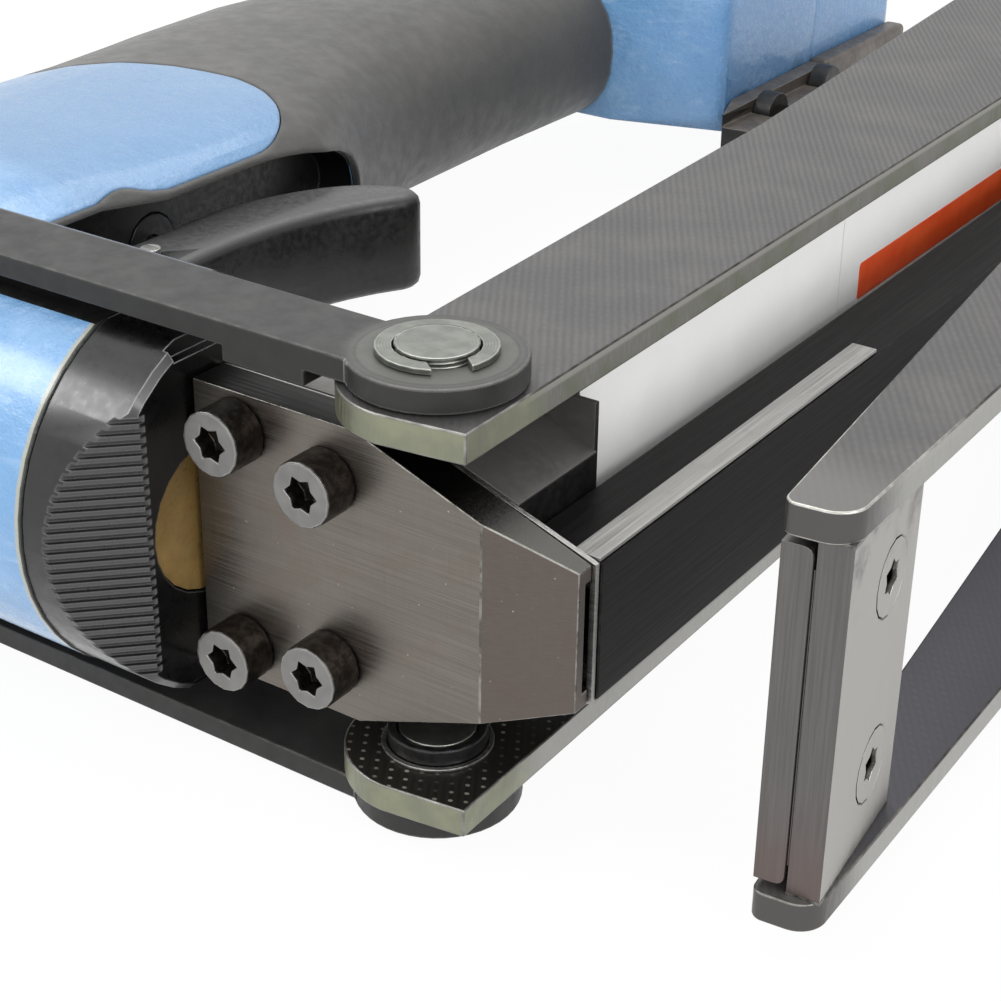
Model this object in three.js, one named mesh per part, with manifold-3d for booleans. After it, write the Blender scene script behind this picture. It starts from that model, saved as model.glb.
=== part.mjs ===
// Carton closing stapler, pneumatic plier type, lying on its right side.
// Millimetres. X runs down the tool in the driving direction, Y runs back along the
// magazine, Z comes out of the tool's left side. The nose pin stands on the origin.
import * as THREE from 'three';
import { mergeVertices } from 'three/addons/utils/BufferGeometryUtils.js';
import Module from 'manifold-3d';

// Clearances and facets
const gap = 0.3;
const overrun = 2;
const largeSides = 44;
const mediumSides = 24;
const smallSides = 16;
const holeSides = 12;

// Driver head: cylinder, collar and cap on one axis
const headAxis = 4.2;
const headRadius = 32.5;
const headBottom = -56;
const headLength = 148;
const boreWall = 5.3;
const driverBoreDepth = 72;
const partition = 8;
const airPort = 7;
const collarLength = 15.3;
const collarInset = 0.3;
const collarSpigotWall = 3;
const collarSpigotLength = 6;
const collarFacetReach = 21.8;
const grooveCount = 26;
const groovePitch = 1.7;
const grooveDepth = 0.8;
const collarEdge = 1;
const collarNotch = 1.9;
const collarNotchRear = 24;
const capLength = 14;
const capEdge = 3;
const clampWall = 10.5;
const capScrewInset = 5.1;
const capScrewRadius = 2.6;
const capScrewLength = 26;
const capScrewHeadRadius = 4.2;
const capScrewHeadHeight = 5;

// Driver: sleeve, piston, blade, bumper
const sleeveWall = 2.6;
const sleeveLength = 58;
const driverStroke = 11;
const pistonLength = 14;
const pistonCrown = 4;
const pistonWall = 3.5;
const pistonRingWidth = 3;
const pistonRingDepth = 1.5;
const pistonHubRadius = 11;
const bladeThickness = 0.8;
const bladeHalfWidth = 8.6;
const bladeRoot = 9;
const bumperThickness = 6;
const bossRadius = 12.5;
const bossAxis = -3.3;

// Jaw side plates, pull bars and the pins that join them, from the middle outwards
const plateThickness = 4.7;
const barThickness = 3.8;
const padThickness = 2.5;
const pinRadius = 6;
const pinProud = 1.4;
const clipThickness = 0.9;
const clipRadius = 8.8;
const clipMouth = 5.6;
const bushRadius = 7.7;
const bushHeight = 2.8;
const barFront = -9.7;
const barWidth = 14.1;
const barEyeRadius = 13;
const padStart = -31;
const padLength = 15;

// Jaw outline, with the jaw open as photographed
const pivotX = -12;
const pivotSetback = 32;
const jawOpening = 5.45;
const plateNoseRadius = 14.2;
const plateCornerX = 13.6;
const plateCornerY = -12.4;
const plateLowerEdge = 11.3;
const plateUpperFront = -13.9;
const plateUpperRear = -18.5;
const plateUpperBend = 130;
const throatSetback = 50;
const hubRadius = 19;
const armFront = -9.4;
const armLowerFront = 37.4;
const armLowerRear = 58;
const armTopRadius = 2;
const armEndRadius = 4.5;
const webThickness = 4;
const webFace = 8;
const webFront = 23.7;
const webEdge = 16;

// Anvil, stated with the jaw closed
const anvilTouch = 0.5;
const insertThickness = 4.4;
const insertLead = 0.4;
const insertEndRadius = 1.6;
const anvilBarThickness = 4.9;
const anvilFront = -7.9;
const anvilDepth = 27;
const insertInset = 1.2;
const anvilScrewSpread = 15;
const anvilScrewSetback = 17;
const anvilScrewRadius = 2.9;
const anvilScrewHead = 5.7;
const clinchGroove = 0.9;

// Nose: plate, guide, block and their screws
const noseFace = -6.9;
const noseTop = -39.5;
const noseShoulder = -9.5;
const noseTip = 26.1;
const noseTipHalf = 11.3;
const noseBevelStart = 12.4;
const noseTipSetback = 3.8;
const guideThickness = 0.9;
const guideTip = 26.6;
const guideSill = 0.9;
const noseBlockDepth = 20.6;
const noseBlockInset = 0.6;
const noseBlockBottom = 13;
const upperScrewX = -31;
const lowerScrewX = -14.3;
const upperScrewInset = 6;
const lowerScrewInset = 9.1;
const noseScrewHeadRadius = 5.2;
const noseScrewHeadHeight = 6.1;
const noseScrewRadius = 2.9;
const noseScrewLength = 18;
const socketRadius = 2.9;
const socketWaist = 2.05;
const socketDepth = 3;

// Magazine, from its lower face upwards
const magazineBottom = 26.9;
const magazineHalf = 11.1;
const magazineLedge = 21.6;
const magazineTop = 13.6;
const magazineTopHalf = 10.7;
const magazineWall = 1.2;
const magazineTail = 10;
const stapleWire = 1.1;
const stapleHalf = 9.1;
const stapleStripLength = 150;
const railFloor = 1.8;
const railWall = 1.6;
const pusherLength = 18;
const pusherKeyHalf = 4.6;
const springRadius = 3;
const springWire = 0.45;
const springCurls = 22;
const trackStripLength = 88;
const trackStripThickness = 0.6;
const trackStripInset = 0.4;
const magazineEndLength = 10;
const magazineEndLip = 2;
const magazineKnobRadius = 5;
const magazineKnobLength = 8;

// Neck, handle and grip
const neckFront = 18;
const handleLength = 304;
const handleTopSetback = 4;
const handleTopDrop = 14;
const neckBottom = -105;
const gripBottom = -127;
const handleHalfFront = 24;
const handleHalfRear = 22;
const gripThickness = 2.2;
const gripFront = 33;
const gripEnd = 52;
const handleWall = 5;
const tongueLower = -111.7;
const tongueUpperSetback = 11;
const tongueMiddle = -138;
const tongueRear = 115;
const tongueLowerReach = 24;
const tongueUpperReach = 38;
const tongueStepX = -117;
const tongueStepY = 60.5;
const tongueStepReach = 6;
const triggerSlotHalf = 16.5;
const triggerSlotTop = -127;
const triggerSlotFront = 40;
const hingeBossHalf = 5.4;
const hingeBossRadius = 5;
const triggerSlotRear = 130;
const triggerSlotReach = 42;

// Rear foot, bracket, end cap and inlet
const footLength = 68;
const footSlant = 9;
const footBottom = -97;
const footHalf = 18.5;
const footRadius = 10;
const bracketHalf = 20.5;
const bracketLead = 2;
const bracketLean = 14;
const bracketFlange = 5;
const railWidth = 10.2;
const cheekThickness = 7;
const bracketHubRadius = 15;
const bracketScrewRadius = 2.6;
const bracketScrewInset = 6.2;
const bracketScrewHeadRadius = 5.6;
const bracketScrewHeadHeight = 5;
const bracketScrewFront = 20;
const bracketScrewPitch = 32;
const bracketScrewLength = 14;
const pivotHeadRadius = 10;
const endCapLength = 9;
const inletX = -150;
const inletHexRadius = 12;
const inletHexLength = 9;
const inletRadius = 7.4;
const inletBore = 4.2;
const inletLength = 14;
const inletSpigot = 6;

// Trigger and valve
const triggerHalf = 10.4;
const triggerTop = -112;
const triggerBackEnd = 80;
const triggerLip = -85;
const triggerLipStart = 106;
const triggerHollow = 2.5;
const triggerRear = 112.8;
const triggerRound = 2.6;
const triggerTail = 5.5;
const triggerPinX = -104;
const triggerPinY = 52;
const triggerPinRadius = 2;
const triggerPinLength = 24;
const valveX = -125;
const valveY = 76;
const valveRadius = 6.5;
const valveLength = 26;
const valveStemRadius = 1.8;
const valveStemTravel = 1.6;

// Clamp drive over the cap
const clampStroke = 28.2;
const clampDisc = 6;
const rodRadius = 5;
const crossheadLength = 12;
const crossheadDepth = 24;
const crossheadPlay = 1.3;
const crossheadScrewRadius = 2.9;
const crossheadScrewHead = 5.2;
const crossheadScrewSeat = 1.8;
const crossheadScrewLength = 16;
const rodNutRadius = 9;
const rodNutHeight = 7;

// Places that follow from the sizes above
const headTop = headBottom - headLength;
const capBottom = headTop - gap;
const capTop = capBottom - capLength;
const collarTop = headBottom + gap;
const collarBottom = collarTop + collarLength;
const collarRadius = headRadius - collarInset;
const driverBore = headRadius - boreWall;
const clampBore = headRadius - clampWall;
const capScrewCircle = headRadius - capScrewInset;
const handleTopFront = headTop + handleTopSetback;
const handleTopRear = handleTopFront + handleTopDrop;
const tongueUpper = handleTopFront + tongueUpperSetback;
const plateOuter = headRadius;
const plateInner = plateOuter - plateThickness;
const barInner = plateOuter + gap;
const barOuter = barInner + barThickness;
const restHalf = barOuter + pinProud;
const headFlat = barInner - padThickness - gap;
const noseHalf = plateInner - gap - bushHeight - gap;
const noseBlockHalf = noseHalf - noseBlockInset;
const upperScrewSpread = noseHalf - upperScrewInset;
const lowerScrewSpread = noseHalf - lowerScrewInset;
const guideFront = gap;
const guideBack = guideFront + guideThickness;
const noseBlockFront = guideBack + gap;
const noseBlockBack = noseBlockFront + noseBlockDepth;
const bladeFront = -gap - bladeThickness;
const bladeBack = bladeFront + bladeThickness;
const magazineFront = noseBlockFront;
const stapleTop = magazineTop + magazineWall + gap;
const stapleFoot = magazineBottom - magazineWall - gap;
const bladeTip = stapleTop - gap;
const sleeveOuter = driverBore - gap;
const sleeveInner = sleeveOuter - sleeveWall;
const spigotTop = collarTop - collarSpigotLength;
const bumperTop = spigotTop - gap;
const sleeveBottom = spigotTop - gap;
const pistonRadius = sleeveInner - gap;
const pistonBottom = bumperTop - driverStroke - gap - bumperThickness;
const pistonTop = pistonBottom - pistonLength;
const openAngle = THREE.MathUtils.degToRad(jawOpening);
const anvilFace = Math.max(guideTip, magazineBottom) + anvilTouch;
const crossheadBottom = capTop - gap - capScrewHeadHeight - gap;
const crossheadTop = crossheadBottom - crossheadLength;
const barTop = crossheadTop;
const handleRear = neckFront + handleLength;
const gripRear = handleRear - gripEnd;
const footFront = handleRear - footLength;
const bracketFront = footFront - bracketLead;
const pivotY = handleRear - pivotSetback;
const throatDepth = pivotY - throatSetback;
const magazineRear = pivotY + magazineTail;

const wasm = await Module();
wasm.setup();

// Turns a closed geometry into a solid that can be joined and cut
function solid(geometry) {
  const bare = geometry.clone();
  bare.deleteAttribute('normal');
  bare.deleteAttribute('uv');
  const merged = mergeVertices(bare);
  const vertProperties = new Float32Array(merged.attributes.position.array);
  const triVerts = new Uint32Array(merged.index.array);
  return new wasm.Manifold(new wasm.Mesh({ numProp: 3, vertProperties, triVerts }));
}

// Turns a solid back into a geometry with flat faces
function geometryOf(body) {
  const mesh = body.getMesh();
  const geometry = new THREE.BufferGeometry();
  const positions = new Float32Array(mesh.numVert * 3);
  for (let i = 0; i < mesh.numVert; i += 1) {
    for (let axis = 0; axis < 3; axis += 1) {
      positions[i * 3 + axis] = mesh.vertProperties[i * mesh.numProp + axis];
    }
  }
  geometry.setAttribute('position', new THREE.BufferAttribute(positions, 3));
  geometry.setIndex(new THREE.BufferAttribute(new Uint32Array(mesh.triVerts), 1));
  const flat = geometry.toNonIndexed();
  flat.computeVertexNormals();
  return flat;
}

// A box between two places on each axis
function block(x, y, z) {
  const geometry = new THREE.BoxGeometry(x[1] - x[0], y[1] - y[0], z[1] - z[0]);
  geometry.translate((x[0] + x[1]) / 2, (y[0] + y[1]) / 2, (z[0] + z[1]) / 2);
  return solid(geometry);
}

// Lays a geometry built along +Y along the named axis instead
function alongAxis(geometry, axis) {
  if (axis === 'x') geometry.rotateZ(-Math.PI / 2);
  if (axis === 'z') geometry.rotateX(Math.PI / 2);
  return geometry;
}

// A cylinder between two places on its axis, centred on the other two axes
function rod(axis, centre, radius, from, to, facets = mediumSides) {
  const low = Math.min(from, to);
  const high = Math.max(from, to);
  const geometry = new THREE.CylinderGeometry(radius, radius, high - low, facets);
  alongAxis(geometry, axis);
  const middle = (low + high) / 2;
  if (axis === 'x') geometry.translate(middle, centre[0], centre[1]);
  if (axis === 'y') geometry.translate(centre[0], middle, centre[1]);
  if (axis === 'z') geometry.translate(centre[0], centre[1], middle);
  return solid(geometry);
}

// A turned piece: profile points are [radius, place along the axis], closed on themselves
function turned(axis, centre, profile, facets = mediumSides) {
  const points = profile.map(([radius, place]) => new THREE.Vector2(radius, place));
  if (points[0].distanceTo(points[points.length - 1]) > 0) points.push(points[0].clone());
  const geometry = new THREE.LatheGeometry(points, facets);
  if (axis === 'x') {
    geometry.rotateZ(-Math.PI / 2);
    geometry.translate(0, centre[0], centre[1]);
  }
  if (axis === 'y') geometry.translate(centre[0], 0, centre[1]);
  if (axis === 'z') {
    geometry.rotateX(Math.PI / 2);
    geometry.translate(centre[0], centre[1], 0);
  }
  const body = solid(geometry);
  return body.volume() < 0 ? solid(flipped(geometry)) : body;
}

function flipped(geometry) {
  const copy = geometry.clone();
  const index = copy.index.array;
  for (let i = 0; i < index.length; i += 3) {
    const held = index[i];
    index[i] = index[i + 1];
    index[i + 1] = held;
  }
  return copy;
}

function outline(points) {
  return new THREE.Shape(points.map(([u, v]) => new THREE.Vector2(u, v)));
}

// An outline in X and Y, drawn out between two heights in Z
function sheet(shape, low, high, curveSegments = 12) {
  const options = { depth: high - low, bevelEnabled: false, curveSegments };
  const geometry = new THREE.ExtrudeGeometry(shape, options);
  geometry.translate(0, 0, low);
  return solid(geometry);
}

// The same with its two faces rounded off all round
function softSheet(shape, low, high, round, curveSegments = 8) {
  const options = {
    depth: high - low - round * 2,
    bevelEnabled: true,
    bevelSize: round,
    bevelOffset: -round,
    bevelThickness: round,
    bevelSegments: 3,
    curveSegments,
  };
  const geometry = new THREE.ExtrudeGeometry(shape, options);
  geometry.translate(0, 0, low + round);
  return solid(geometry);
}

// An outline in X and Z, drawn out between two places in Y
function profileAlongY(shape, front, rear, curveSegments = 12) {
  const options = { depth: rear - front, bevelEnabled: false, curveSegments };
  const geometry = new THREE.ExtrudeGeometry(shape, options);
  geometry.rotateX(Math.PI / 2);
  geometry.translate(0, rear, 0);
  return solid(geometry);
}

// An outline in Y and Z, drawn out between two places in X
function profileAlongX(shape, top, bottom, curveSegments = 12) {
  const options = { depth: bottom - top, bevelEnabled: false, curveSegments };
  const geometry = new THREE.ExtrudeGeometry(shape, options);
  geometry.applyMatrix4(new THREE.Matrix4().makeBasis(
    new THREE.Vector3(0, 1, 0), new THREE.Vector3(0, 0, 1), new THREE.Vector3(1, 0, 0)));
  geometry.translate(top, 0, 0);
  return solid(geometry);
}

// Mirror pairs lie left and right of the middle plane
function mirrored(body) {
  return body.mirror([0, 0, 1]);
}

function joined(bodies) {
  return bodies.reduce((whole, body) => whole.add(body));
}

// A point of the closed jaw, carried to where it lies with the jaw open
function opened(x, y) {
  const dx = x - pivotX;
  const dy = y - pivotY;
  const c = Math.cos(openAngle);
  const s = Math.sin(openAngle);
  return [pivotX + dx * c - dy * s, pivotY + dx * s + dy * c];
}

function openJaw(body) {
  const here = body.translate([-pivotX, -pivotY, 0]);
  return here.rotate([0, 0, jawOpening]).translate([pivotX, pivotY, 0]);
}

const part = new THREE.Group();
part.name = 'carton_closing_stapler';
part.position.z = restHalf;

function add(name, body, color, roughness, metalness) {
  const material = new THREE.MeshStandardMaterial({ color, roughness, metalness });
  const mesh = new THREE.Mesh(geometryOf(body), material);
  mesh.name = name;
  part.add(mesh);
  return mesh;
}

const bluePaint = [0x86b4e0, 0.35, 0];
const gripRubber = [0x4a4845, 0.85, 0];
const blackOxide = [0x2b2c2d, 0.45, 0.6];
const blackPlastic = [0x1d1d1e, 0.5, 0];
const darkSteel = [0x5a5b5c, 0.45, 0.8];
const noseSteel = [0x77726a, 0.4, 0.8];
const brightSteel = [0xb4b5b5, 0.3, 0.9];
const amberPlastic = [0x9a7638, 0.4, 0];
const springSteel = [0x8a8b8c, 0.35, 0.9];
const zincWire = [0xa9a69c, 0.4, 0.9];

// Collar: a turned ring whose front corner is cut to a grooved facet
function makeCollar() {
  const spigotOuter = driverBore - gap;
  let collar = turned('x', [headAxis, 0], [
    [0, spigotTop],
    [spigotOuter, spigotTop],
    [spigotOuter, collarTop],
    [collarRadius, collarTop],
    [collarRadius, collarBottom - collarEdge],
    [collarRadius - collarEdge, collarBottom],
    [0, collarBottom],
  ], largeSides);
  const wide = headRadius * 2;
  collar = collar.intersect(block(
    [spigotTop - overrun, collarBottom + overrun],
    [headAxis - wide, headAxis + wide],
    [-headFlat, headFlat],
  ));
  collar = collar.subtract(rod('x', [headAxis, 0], spigotOuter - collarSpigotWall,
    spigotTop - overrun, collarTop, largeSides));
  collar = collar.subtract(rod('x', [bossAxis, 0], bossRadius + gap,
    spigotTop, collarBottom + overrun));
  const facetY = headAxis - collarFacetReach;
  const far = collarFacetReach + headRadius;
  const wedge = sheet(outline([
    [collarBottom, facetY],
    [collarBottom + far, facetY + far],
    [collarBottom + far, facetY - far],
    [collarBottom - far, facetY - far],
  ]), -wide, wide);
  collar = collar.subtract(wedge);
  const notch = block([collarBottom - collarNotch, collarBottom + overrun],
    [barFront, collarNotchRear], [plateInner - gap, headRadius]);
  collar = collar.subtract(notch).subtract(mirrored(notch));
  const grooves = [];
  const root = grooveDepth * Math.SQRT2;
  for (let i = 0; i < grooveCount; i += 1) {
    const z = (i - (grooveCount - 1) / 2) * groovePitch;
    const half = groovePitch * 0.27;
    const start = [collarBottom + grooveDepth, facetY + grooveDepth];
    const end = [start[0] - far, start[1] - far];
    grooves.push(sheet(outline([
      [start[0] - root, start[1]],
      [start[0] + far, start[1] + far + root],
      [start[0] + far, start[1]],
      [end[0] + far, end[1] - root],
      [end[0], end[1] - root],
      [end[0] - root, end[1]],
    ]), z - half, z + half));
  }
  return collar.subtract(joined(grooves));
}

// Neck and handle: one loft of rounded sections along Y
const stationShares = [0, 0.11, 0.15, 0.3, 0.385, 0.49, 0.65, 0.82, 0.92, 1];
const dropShares = [0.27, 0.27, 0, 0, 0.6, 0.96, 1, 0.98, 0.94, 0.71];
const squareShares = [3.4, 3.4, 3.4, 3.4, 2.9, 2.5, 2.5, 2.5, 2.5, 2.5];
const riseShares = [0, 0, 0, 0, -0.1, -0.2, 0.05, 0.55, 0.85, 1];
const slimShares = [0, 0, 0, 0, 0.15, 0.3, 0.7, 0.9, 1, 1];
const squareness = 2.5;
const ringPoints = 32;

function handleLoft(inset, front = neckFront, rear = handleRear) {
  const positions = [];
  const index = [];
  const stations = stationShares.map((share, i) => {
    const y = neckFront + share * handleLength;
    const top = handleTopFront + riseShares[i] * (handleTopRear - handleTopFront);
    const low = neckBottom + dropShares[i] * (gripBottom - neckBottom);
    const half = handleHalfFront + slimShares[i] * (handleHalfRear - handleHalfFront);
    const corner = squareShares[i];
    return { y, top: top + inset, low: low - inset, half: half - inset, corner };
  });
  stations.forEach(({ y, top, low, half, corner }) => {
    for (let k = 0; k < ringPoints; k += 1) {
      const turn = (2 * Math.PI * k) / ringPoints;
      const c = Math.cos(turn);
      const s = Math.sin(turn);
      const power = 2 / (c > 0 ? corner : squareness);
      const u = Math.sign(c) * Math.abs(c) ** power;
      const v = Math.sign(s) * Math.abs(s) ** power;
      positions.push((top + low) / 2 + (u * (low - top)) / 2, y, v * half);
    }
  });
  const rings = stations.length;
  for (let r = 0; r < rings - 1; r += 1) {
    for (let k = 0; k < ringPoints; k += 1) {
      const a = r * ringPoints + k;
      const b = r * ringPoints + ((k + 1) % ringPoints);
      index.push(a, b, b + ringPoints, a, b + ringPoints, a + ringPoints);
    }
  }
  const first = positions.length / 3;
  const start = stations[0];
  const end = stations[rings - 1];
  positions.push((start.top + start.low) / 2, start.y, 0);
  positions.push((end.top + end.low) / 2, end.y, 0);
  for (let k = 0; k < ringPoints; k += 1) {
    const next = (k + 1) % ringPoints;
    const last = (rings - 1) * ringPoints;
    index.push(first, next, k);
    index.push(first + 1, last + k, last + next);
  }
  const geometry = new THREE.BufferGeometry();
  geometry.setAttribute('position', new THREE.Float32BufferAttribute(positions, 3));
  geometry.setIndex(index);
  let body = solid(geometry);
  if (body.volume() < 0) body = solid(flipped(geometry));
  if (front > neckFront || rear < handleRear) {
    const far = handleHalfFront * 2;
    const room = [handleTopFront * 2, 0];
    body = body.intersect(block(room, [front, rear], [-far, far]));
  }
  return body;
}

// The blue tongue that the grip leaves bare on each flank
function tonguePrism(grow) {
  const shape = new THREE.Shape();
  const lower = tongueLower + grow;
  shape.moveTo(tongueStepX + grow, 0);
  shape.lineTo(tongueStepX + grow, tongueStepY - tongueStepReach);
  shape.bezierCurveTo(tongueStepX + grow, tongueStepY, lower, tongueStepY, lower,
    tongueStepY + tongueStepReach);
  shape.absellipse(tongueMiddle, tongueRear - tongueLowerReach, lower - tongueMiddle,
    tongueLowerReach + grow, 0, Math.PI / 2, false);
  shape.absellipse(tongueMiddle, tongueRear - tongueUpperReach,
    tongueMiddle - tongueUpper + grow, tongueUpperReach + grow, Math.PI / 2, Math.PI, false);
  shape.lineTo(tongueUpper - grow, 0);
  shape.closePath();
  return sheet(shape, -headRadius, headRadius, holeSides);
}

const footRear = handleRear;
const handleCore = handleLoft(gripThickness);
const handleSkin = handleLoft(0);

function roundedOutline(u, v, radius) {
  const shape = new THREE.Shape();
  const low = [u[0] + radius, v[0] + radius];
  const high = [u[1] - radius, v[1] - radius];
  shape.absarc(high[0], low[1], radius, -Math.PI / 2, 0, false);
  shape.absarc(high[0], high[1], radius, 0, Math.PI / 2, false);
  shape.absarc(low[0], high[1], radius, Math.PI / 2, Math.PI, false);
  shape.absarc(low[0], low[1], radius, Math.PI, Math.PI * 1.5, false);
  return shape;
}

// Slot for the trigger, wide at the hinge and rounded off behind the trigger's tail
function makeTriggerSlot(front, grow) {
  const half = triggerSlotHalf + grow;
  const bend = triggerSlotRear - triggerSlotReach;
  const shape = new THREE.Shape();
  shape.moveTo(front, -half);
  shape.lineTo(bend, -half);
  shape.absellipse(bend, 0, triggerSlotReach + grow, half, -Math.PI / 2, Math.PI / 2, false);
  shape.lineTo(front, half);
  shape.closePath();
  return profileAlongX(shape, triggerSlotTop, 0, holeSides);
}

const triggerSlot = makeTriggerSlot(triggerSlotFront, 0);

// Rear foot under the handle, its front face leaning back as it goes down
function footPrism(grow) {
  const shelf = gripBottom - footRadius * 2;
  const shape = new THREE.Shape();
  shape.moveTo(shelf, footFront - grow);
  shape.lineTo(gripBottom, footFront - grow);
  shape.lineTo(footBottom + grow, footFront + footSlant - grow);
  shape.lineTo(footBottom + grow, footRear - footRadius);
  shape.absarc(footBottom - footRadius, footRear - footRadius, footRadius + grow, 0,
    Math.PI / 2, false);
  shape.lineTo(shelf, footRear + grow);
  shape.closePath();
  return sheet(shape, -footHalf - grow, footHalf + grow, 4);
}

function makeHousing() {
  const wide = headRadius * 2;
  let head = rod('x', [headAxis, 0], headRadius, headTop, headBottom, largeSides);
  head = head.intersect(block([headTop - overrun, headBottom + overrun],
    [headAxis - wide, headAxis + wide], [-headFlat, headFlat]));
  let body = head.add(handleCore);
  body = body.add(handleSkin.intersect(tonguePrism(0)));
  body = body.add(handleLoft(0, gripRear + gap));
  body = body.add(footPrism(0));
  const boreTop = headBottom - driverBoreDepth;
  body = body.subtract(rod('x', [headAxis, 0], driverBore, boreTop, headBottom + overrun,
    largeSides));
  body = body.subtract(rod('x', [headAxis, 0], clampBore, headTop - overrun,
    boreTop - partition));
  body = body.subtract(rod('x', [headAxis, 0], airPort, boreTop - partition - overrun,
    boreTop + overrun, smallSides));
  const air = handleLoft(gripThickness + handleWall, headAxis + headRadius, handleRear);
  const port = block([handleTopFront / 2 + gripBottom / 2, gripBottom - handleWall * 2],
    [headAxis, headAxis + headRadius + overrun], [-airPort, airPort]);
  const reservoir = air.translate([0, overrun, 0]).add(port);
  const kept = block([triggerSlotTop - handleWall, 0],
    [triggerSlotFront - handleWall, triggerSlotRear + handleWall],
    [-triggerSlotHalf - handleWall, triggerSlotHalf + handleWall]);
  body = body.subtract(reservoir.subtract(kept));
  body = body.subtract(triggerSlot).add(hingeBoss());
  body = body.subtract(rod('x', [valveY, 0], valveRadius + gap,
    valveX - valveLength, triggerSlotTop + overrun, smallSides));
  body = body.subtract(rod('z', [triggerPinX, triggerPinY], triggerPinRadius + gap,
    -wide, wide, holeSides));
  for (const [y, z] of capScrewPlaces()) {
    body = body.subtract(rod('x', [y, z], capScrewRadius + gap, headTop - overrun,
      capTop + capScrewLength + gap, holeSides));
  }
  for (const [y, z] of bracketScrewPlaces()) {
    body = body.subtract(rod('x', [y, z], bracketScrewRadius + gap,
      footBottom - bracketScrewLength, footBottom + overrun, holeSides));
  }
  return body;
}

// The trigger's two ears straddle this boss in the slot
function hingeBoss() {
  const round = rod('z', [triggerPinX, triggerPinY], hingeBossRadius, -hingeBossHalf,
    hingeBossHalf, smallSides);
  const stem = block([triggerSlotTop - overrun, triggerPinX],
    [triggerPinY - hingeBossRadius, triggerPinY + hingeBossRadius],
    [-hingeBossHalf, hingeBossHalf]);
  return round.add(stem);
}

function capScrewPlaces() {
  const reach = capScrewCircle * Math.SQRT1_2;
  const places = [];
  for (const a of [-1, 1]) {
    for (const b of [-1, 1]) places.push([headAxis + a * reach, b * reach]);
  }
  return places;
}

function bracketScrewPlaces() {
  const z = bracketScrewInset - bracketHalf;
  const front = footFront + bracketScrewFront;
  return [[front, z], [front + bracketScrewPitch, z]];
}

function makeGrip() {
  let grip = handleLoft(0, gripFront, gripRear);
  grip = grip.subtract(handleLoft(gripThickness - gap));
  grip = grip.subtract(tonguePrism(gap));
  grip = grip.subtract(makeTriggerSlot(gripFront - overrun, gap));
  const roof = block([handleTopFront * 2, tongueUpper + gap],
    [0, tongueRear - tongueUpperReach], [-headRadius, headRadius]);
  grip = grip.subtract(roof);
  grip = grip.subtract(rod('x', [headAxis, 0], headRadius + gap, headTop, headBottom));
  grip = grip.subtract(footPrism(gap));
  return largest(grip);
}

function largest(body) {
  const pieces = body.decompose();
  return pieces.reduce((best, piece) => (piece.volume() > best.volume() ? piece : best));
}

function makeCap() {
  const wide = headRadius * 2;
  let cap = turned('x', [headAxis, 0], [
    [0, capTop],
    [headRadius - capEdge, capTop],
    [headRadius, capTop + capEdge],
    [headRadius, capBottom],
    [0, capBottom],
  ], largeSides);
  cap = cap.intersect(block([capTop - overrun, capBottom + overrun],
    [headAxis - wide, headAxis + wide], [-headFlat, headFlat]));
  cap = cap.subtract(rod('x', [headAxis, 0], rodRadius + gap, capTop - overrun,
    capBottom + overrun, smallSides));
  for (const [y, z] of capScrewPlaces()) {
    cap = cap.subtract(rod('x', [y, z], capScrewRadius + gap, capTop - overrun,
      capBottom + overrun, holeSides));
  }
  return cap;
}

// A six-lobed socket, cut along the screw's axis
function starShape() {
  const points = [];
  for (let i = 0; i < 12; i += 1) {
    const radius = i % 2 === 0 ? socketRadius : socketWaist;
    const turn = (Math.PI * i) / 6;
    points.push([radius * Math.cos(turn), radius * Math.sin(turn)]);
  }
  return outline(points);
}

function capScrew(y, z) {
  const head = turned('x', [y, z], [
    [0, capTop - gap - capScrewHeadHeight],
    [capScrewHeadRadius, capTop - gap - capScrewHeadHeight],
    [capScrewHeadRadius, capTop - gap],
    [capScrewRadius, capTop - gap],
    [capScrewRadius, capTop + capScrewLength],
    [0, capTop + capScrewLength],
  ], holeSides);
  return head;
}

function makeSleeve() {
  return turned('x', [headAxis, 0], [
    [sleeveInner, sleeveBottom - sleeveLength],
    [sleeveOuter, sleeveBottom - sleeveLength],
    [sleeveOuter, sleeveBottom],
    [sleeveInner, sleeveBottom],
  ], largeSides);
}

function makePiston() {
  const ringTop = pistonTop + pistonCrown;
  const ringBottom = ringTop + pistonRingWidth;
  let piston = turned('x', [headAxis, 0], [
    [0, pistonTop],
    [pistonRadius, pistonTop],
    [pistonRadius, ringTop],
    [pistonRadius - pistonRingDepth, ringTop],
    [pistonRadius - pistonRingDepth, ringBottom],
    [pistonRadius, ringBottom],
    [pistonRadius, pistonBottom],
    [pistonRadius - pistonWall, pistonBottom],
    [pistonRadius - pistonWall, ringBottom],
    [pistonHubRadius, ringBottom],
    [pistonHubRadius, pistonBottom],
    [0, pistonBottom],
  ], mediumSides);
  piston = piston.subtract(block([pistonBottom - bladeRoot, pistonBottom + overrun],
    [bladeFront - gap, bladeBack + gap], [-bladeHalfWidth - gap, bladeHalfWidth + gap]));
  return piston;
}

function makeBumper() {
  const room = sleeveInner - gap;
  let bumper = rod('x', [headAxis, 0], room, bumperTop - bumperThickness, bumperTop, mediumSides);
  bumper = bumper.add(rod('x', [bossAxis, 0], bossRadius, bumperTop - gap,
    noseTop - gap - overrun / 2, mediumSides));
  return bumper.subtract(block([bumperTop - bumperThickness - overrun, collarBottom + overrun],
    [bladeFront - gap * 2, bladeBack + gap * 2],
    [-bladeHalfWidth - gap * 2, bladeHalfWidth + gap * 2]));
}

// Nose plate outline in X and Z, wide at the head and tapered to the tip
function noseOutline(half, tipHalf, top, tip) {
  return outline([
    [top, -half],
    [noseShoulder, -half],
    [tip, -tipHalf],
    [tip, tipHalf],
    [noseShoulder, half],
    [top, half],
  ]);
}

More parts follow.
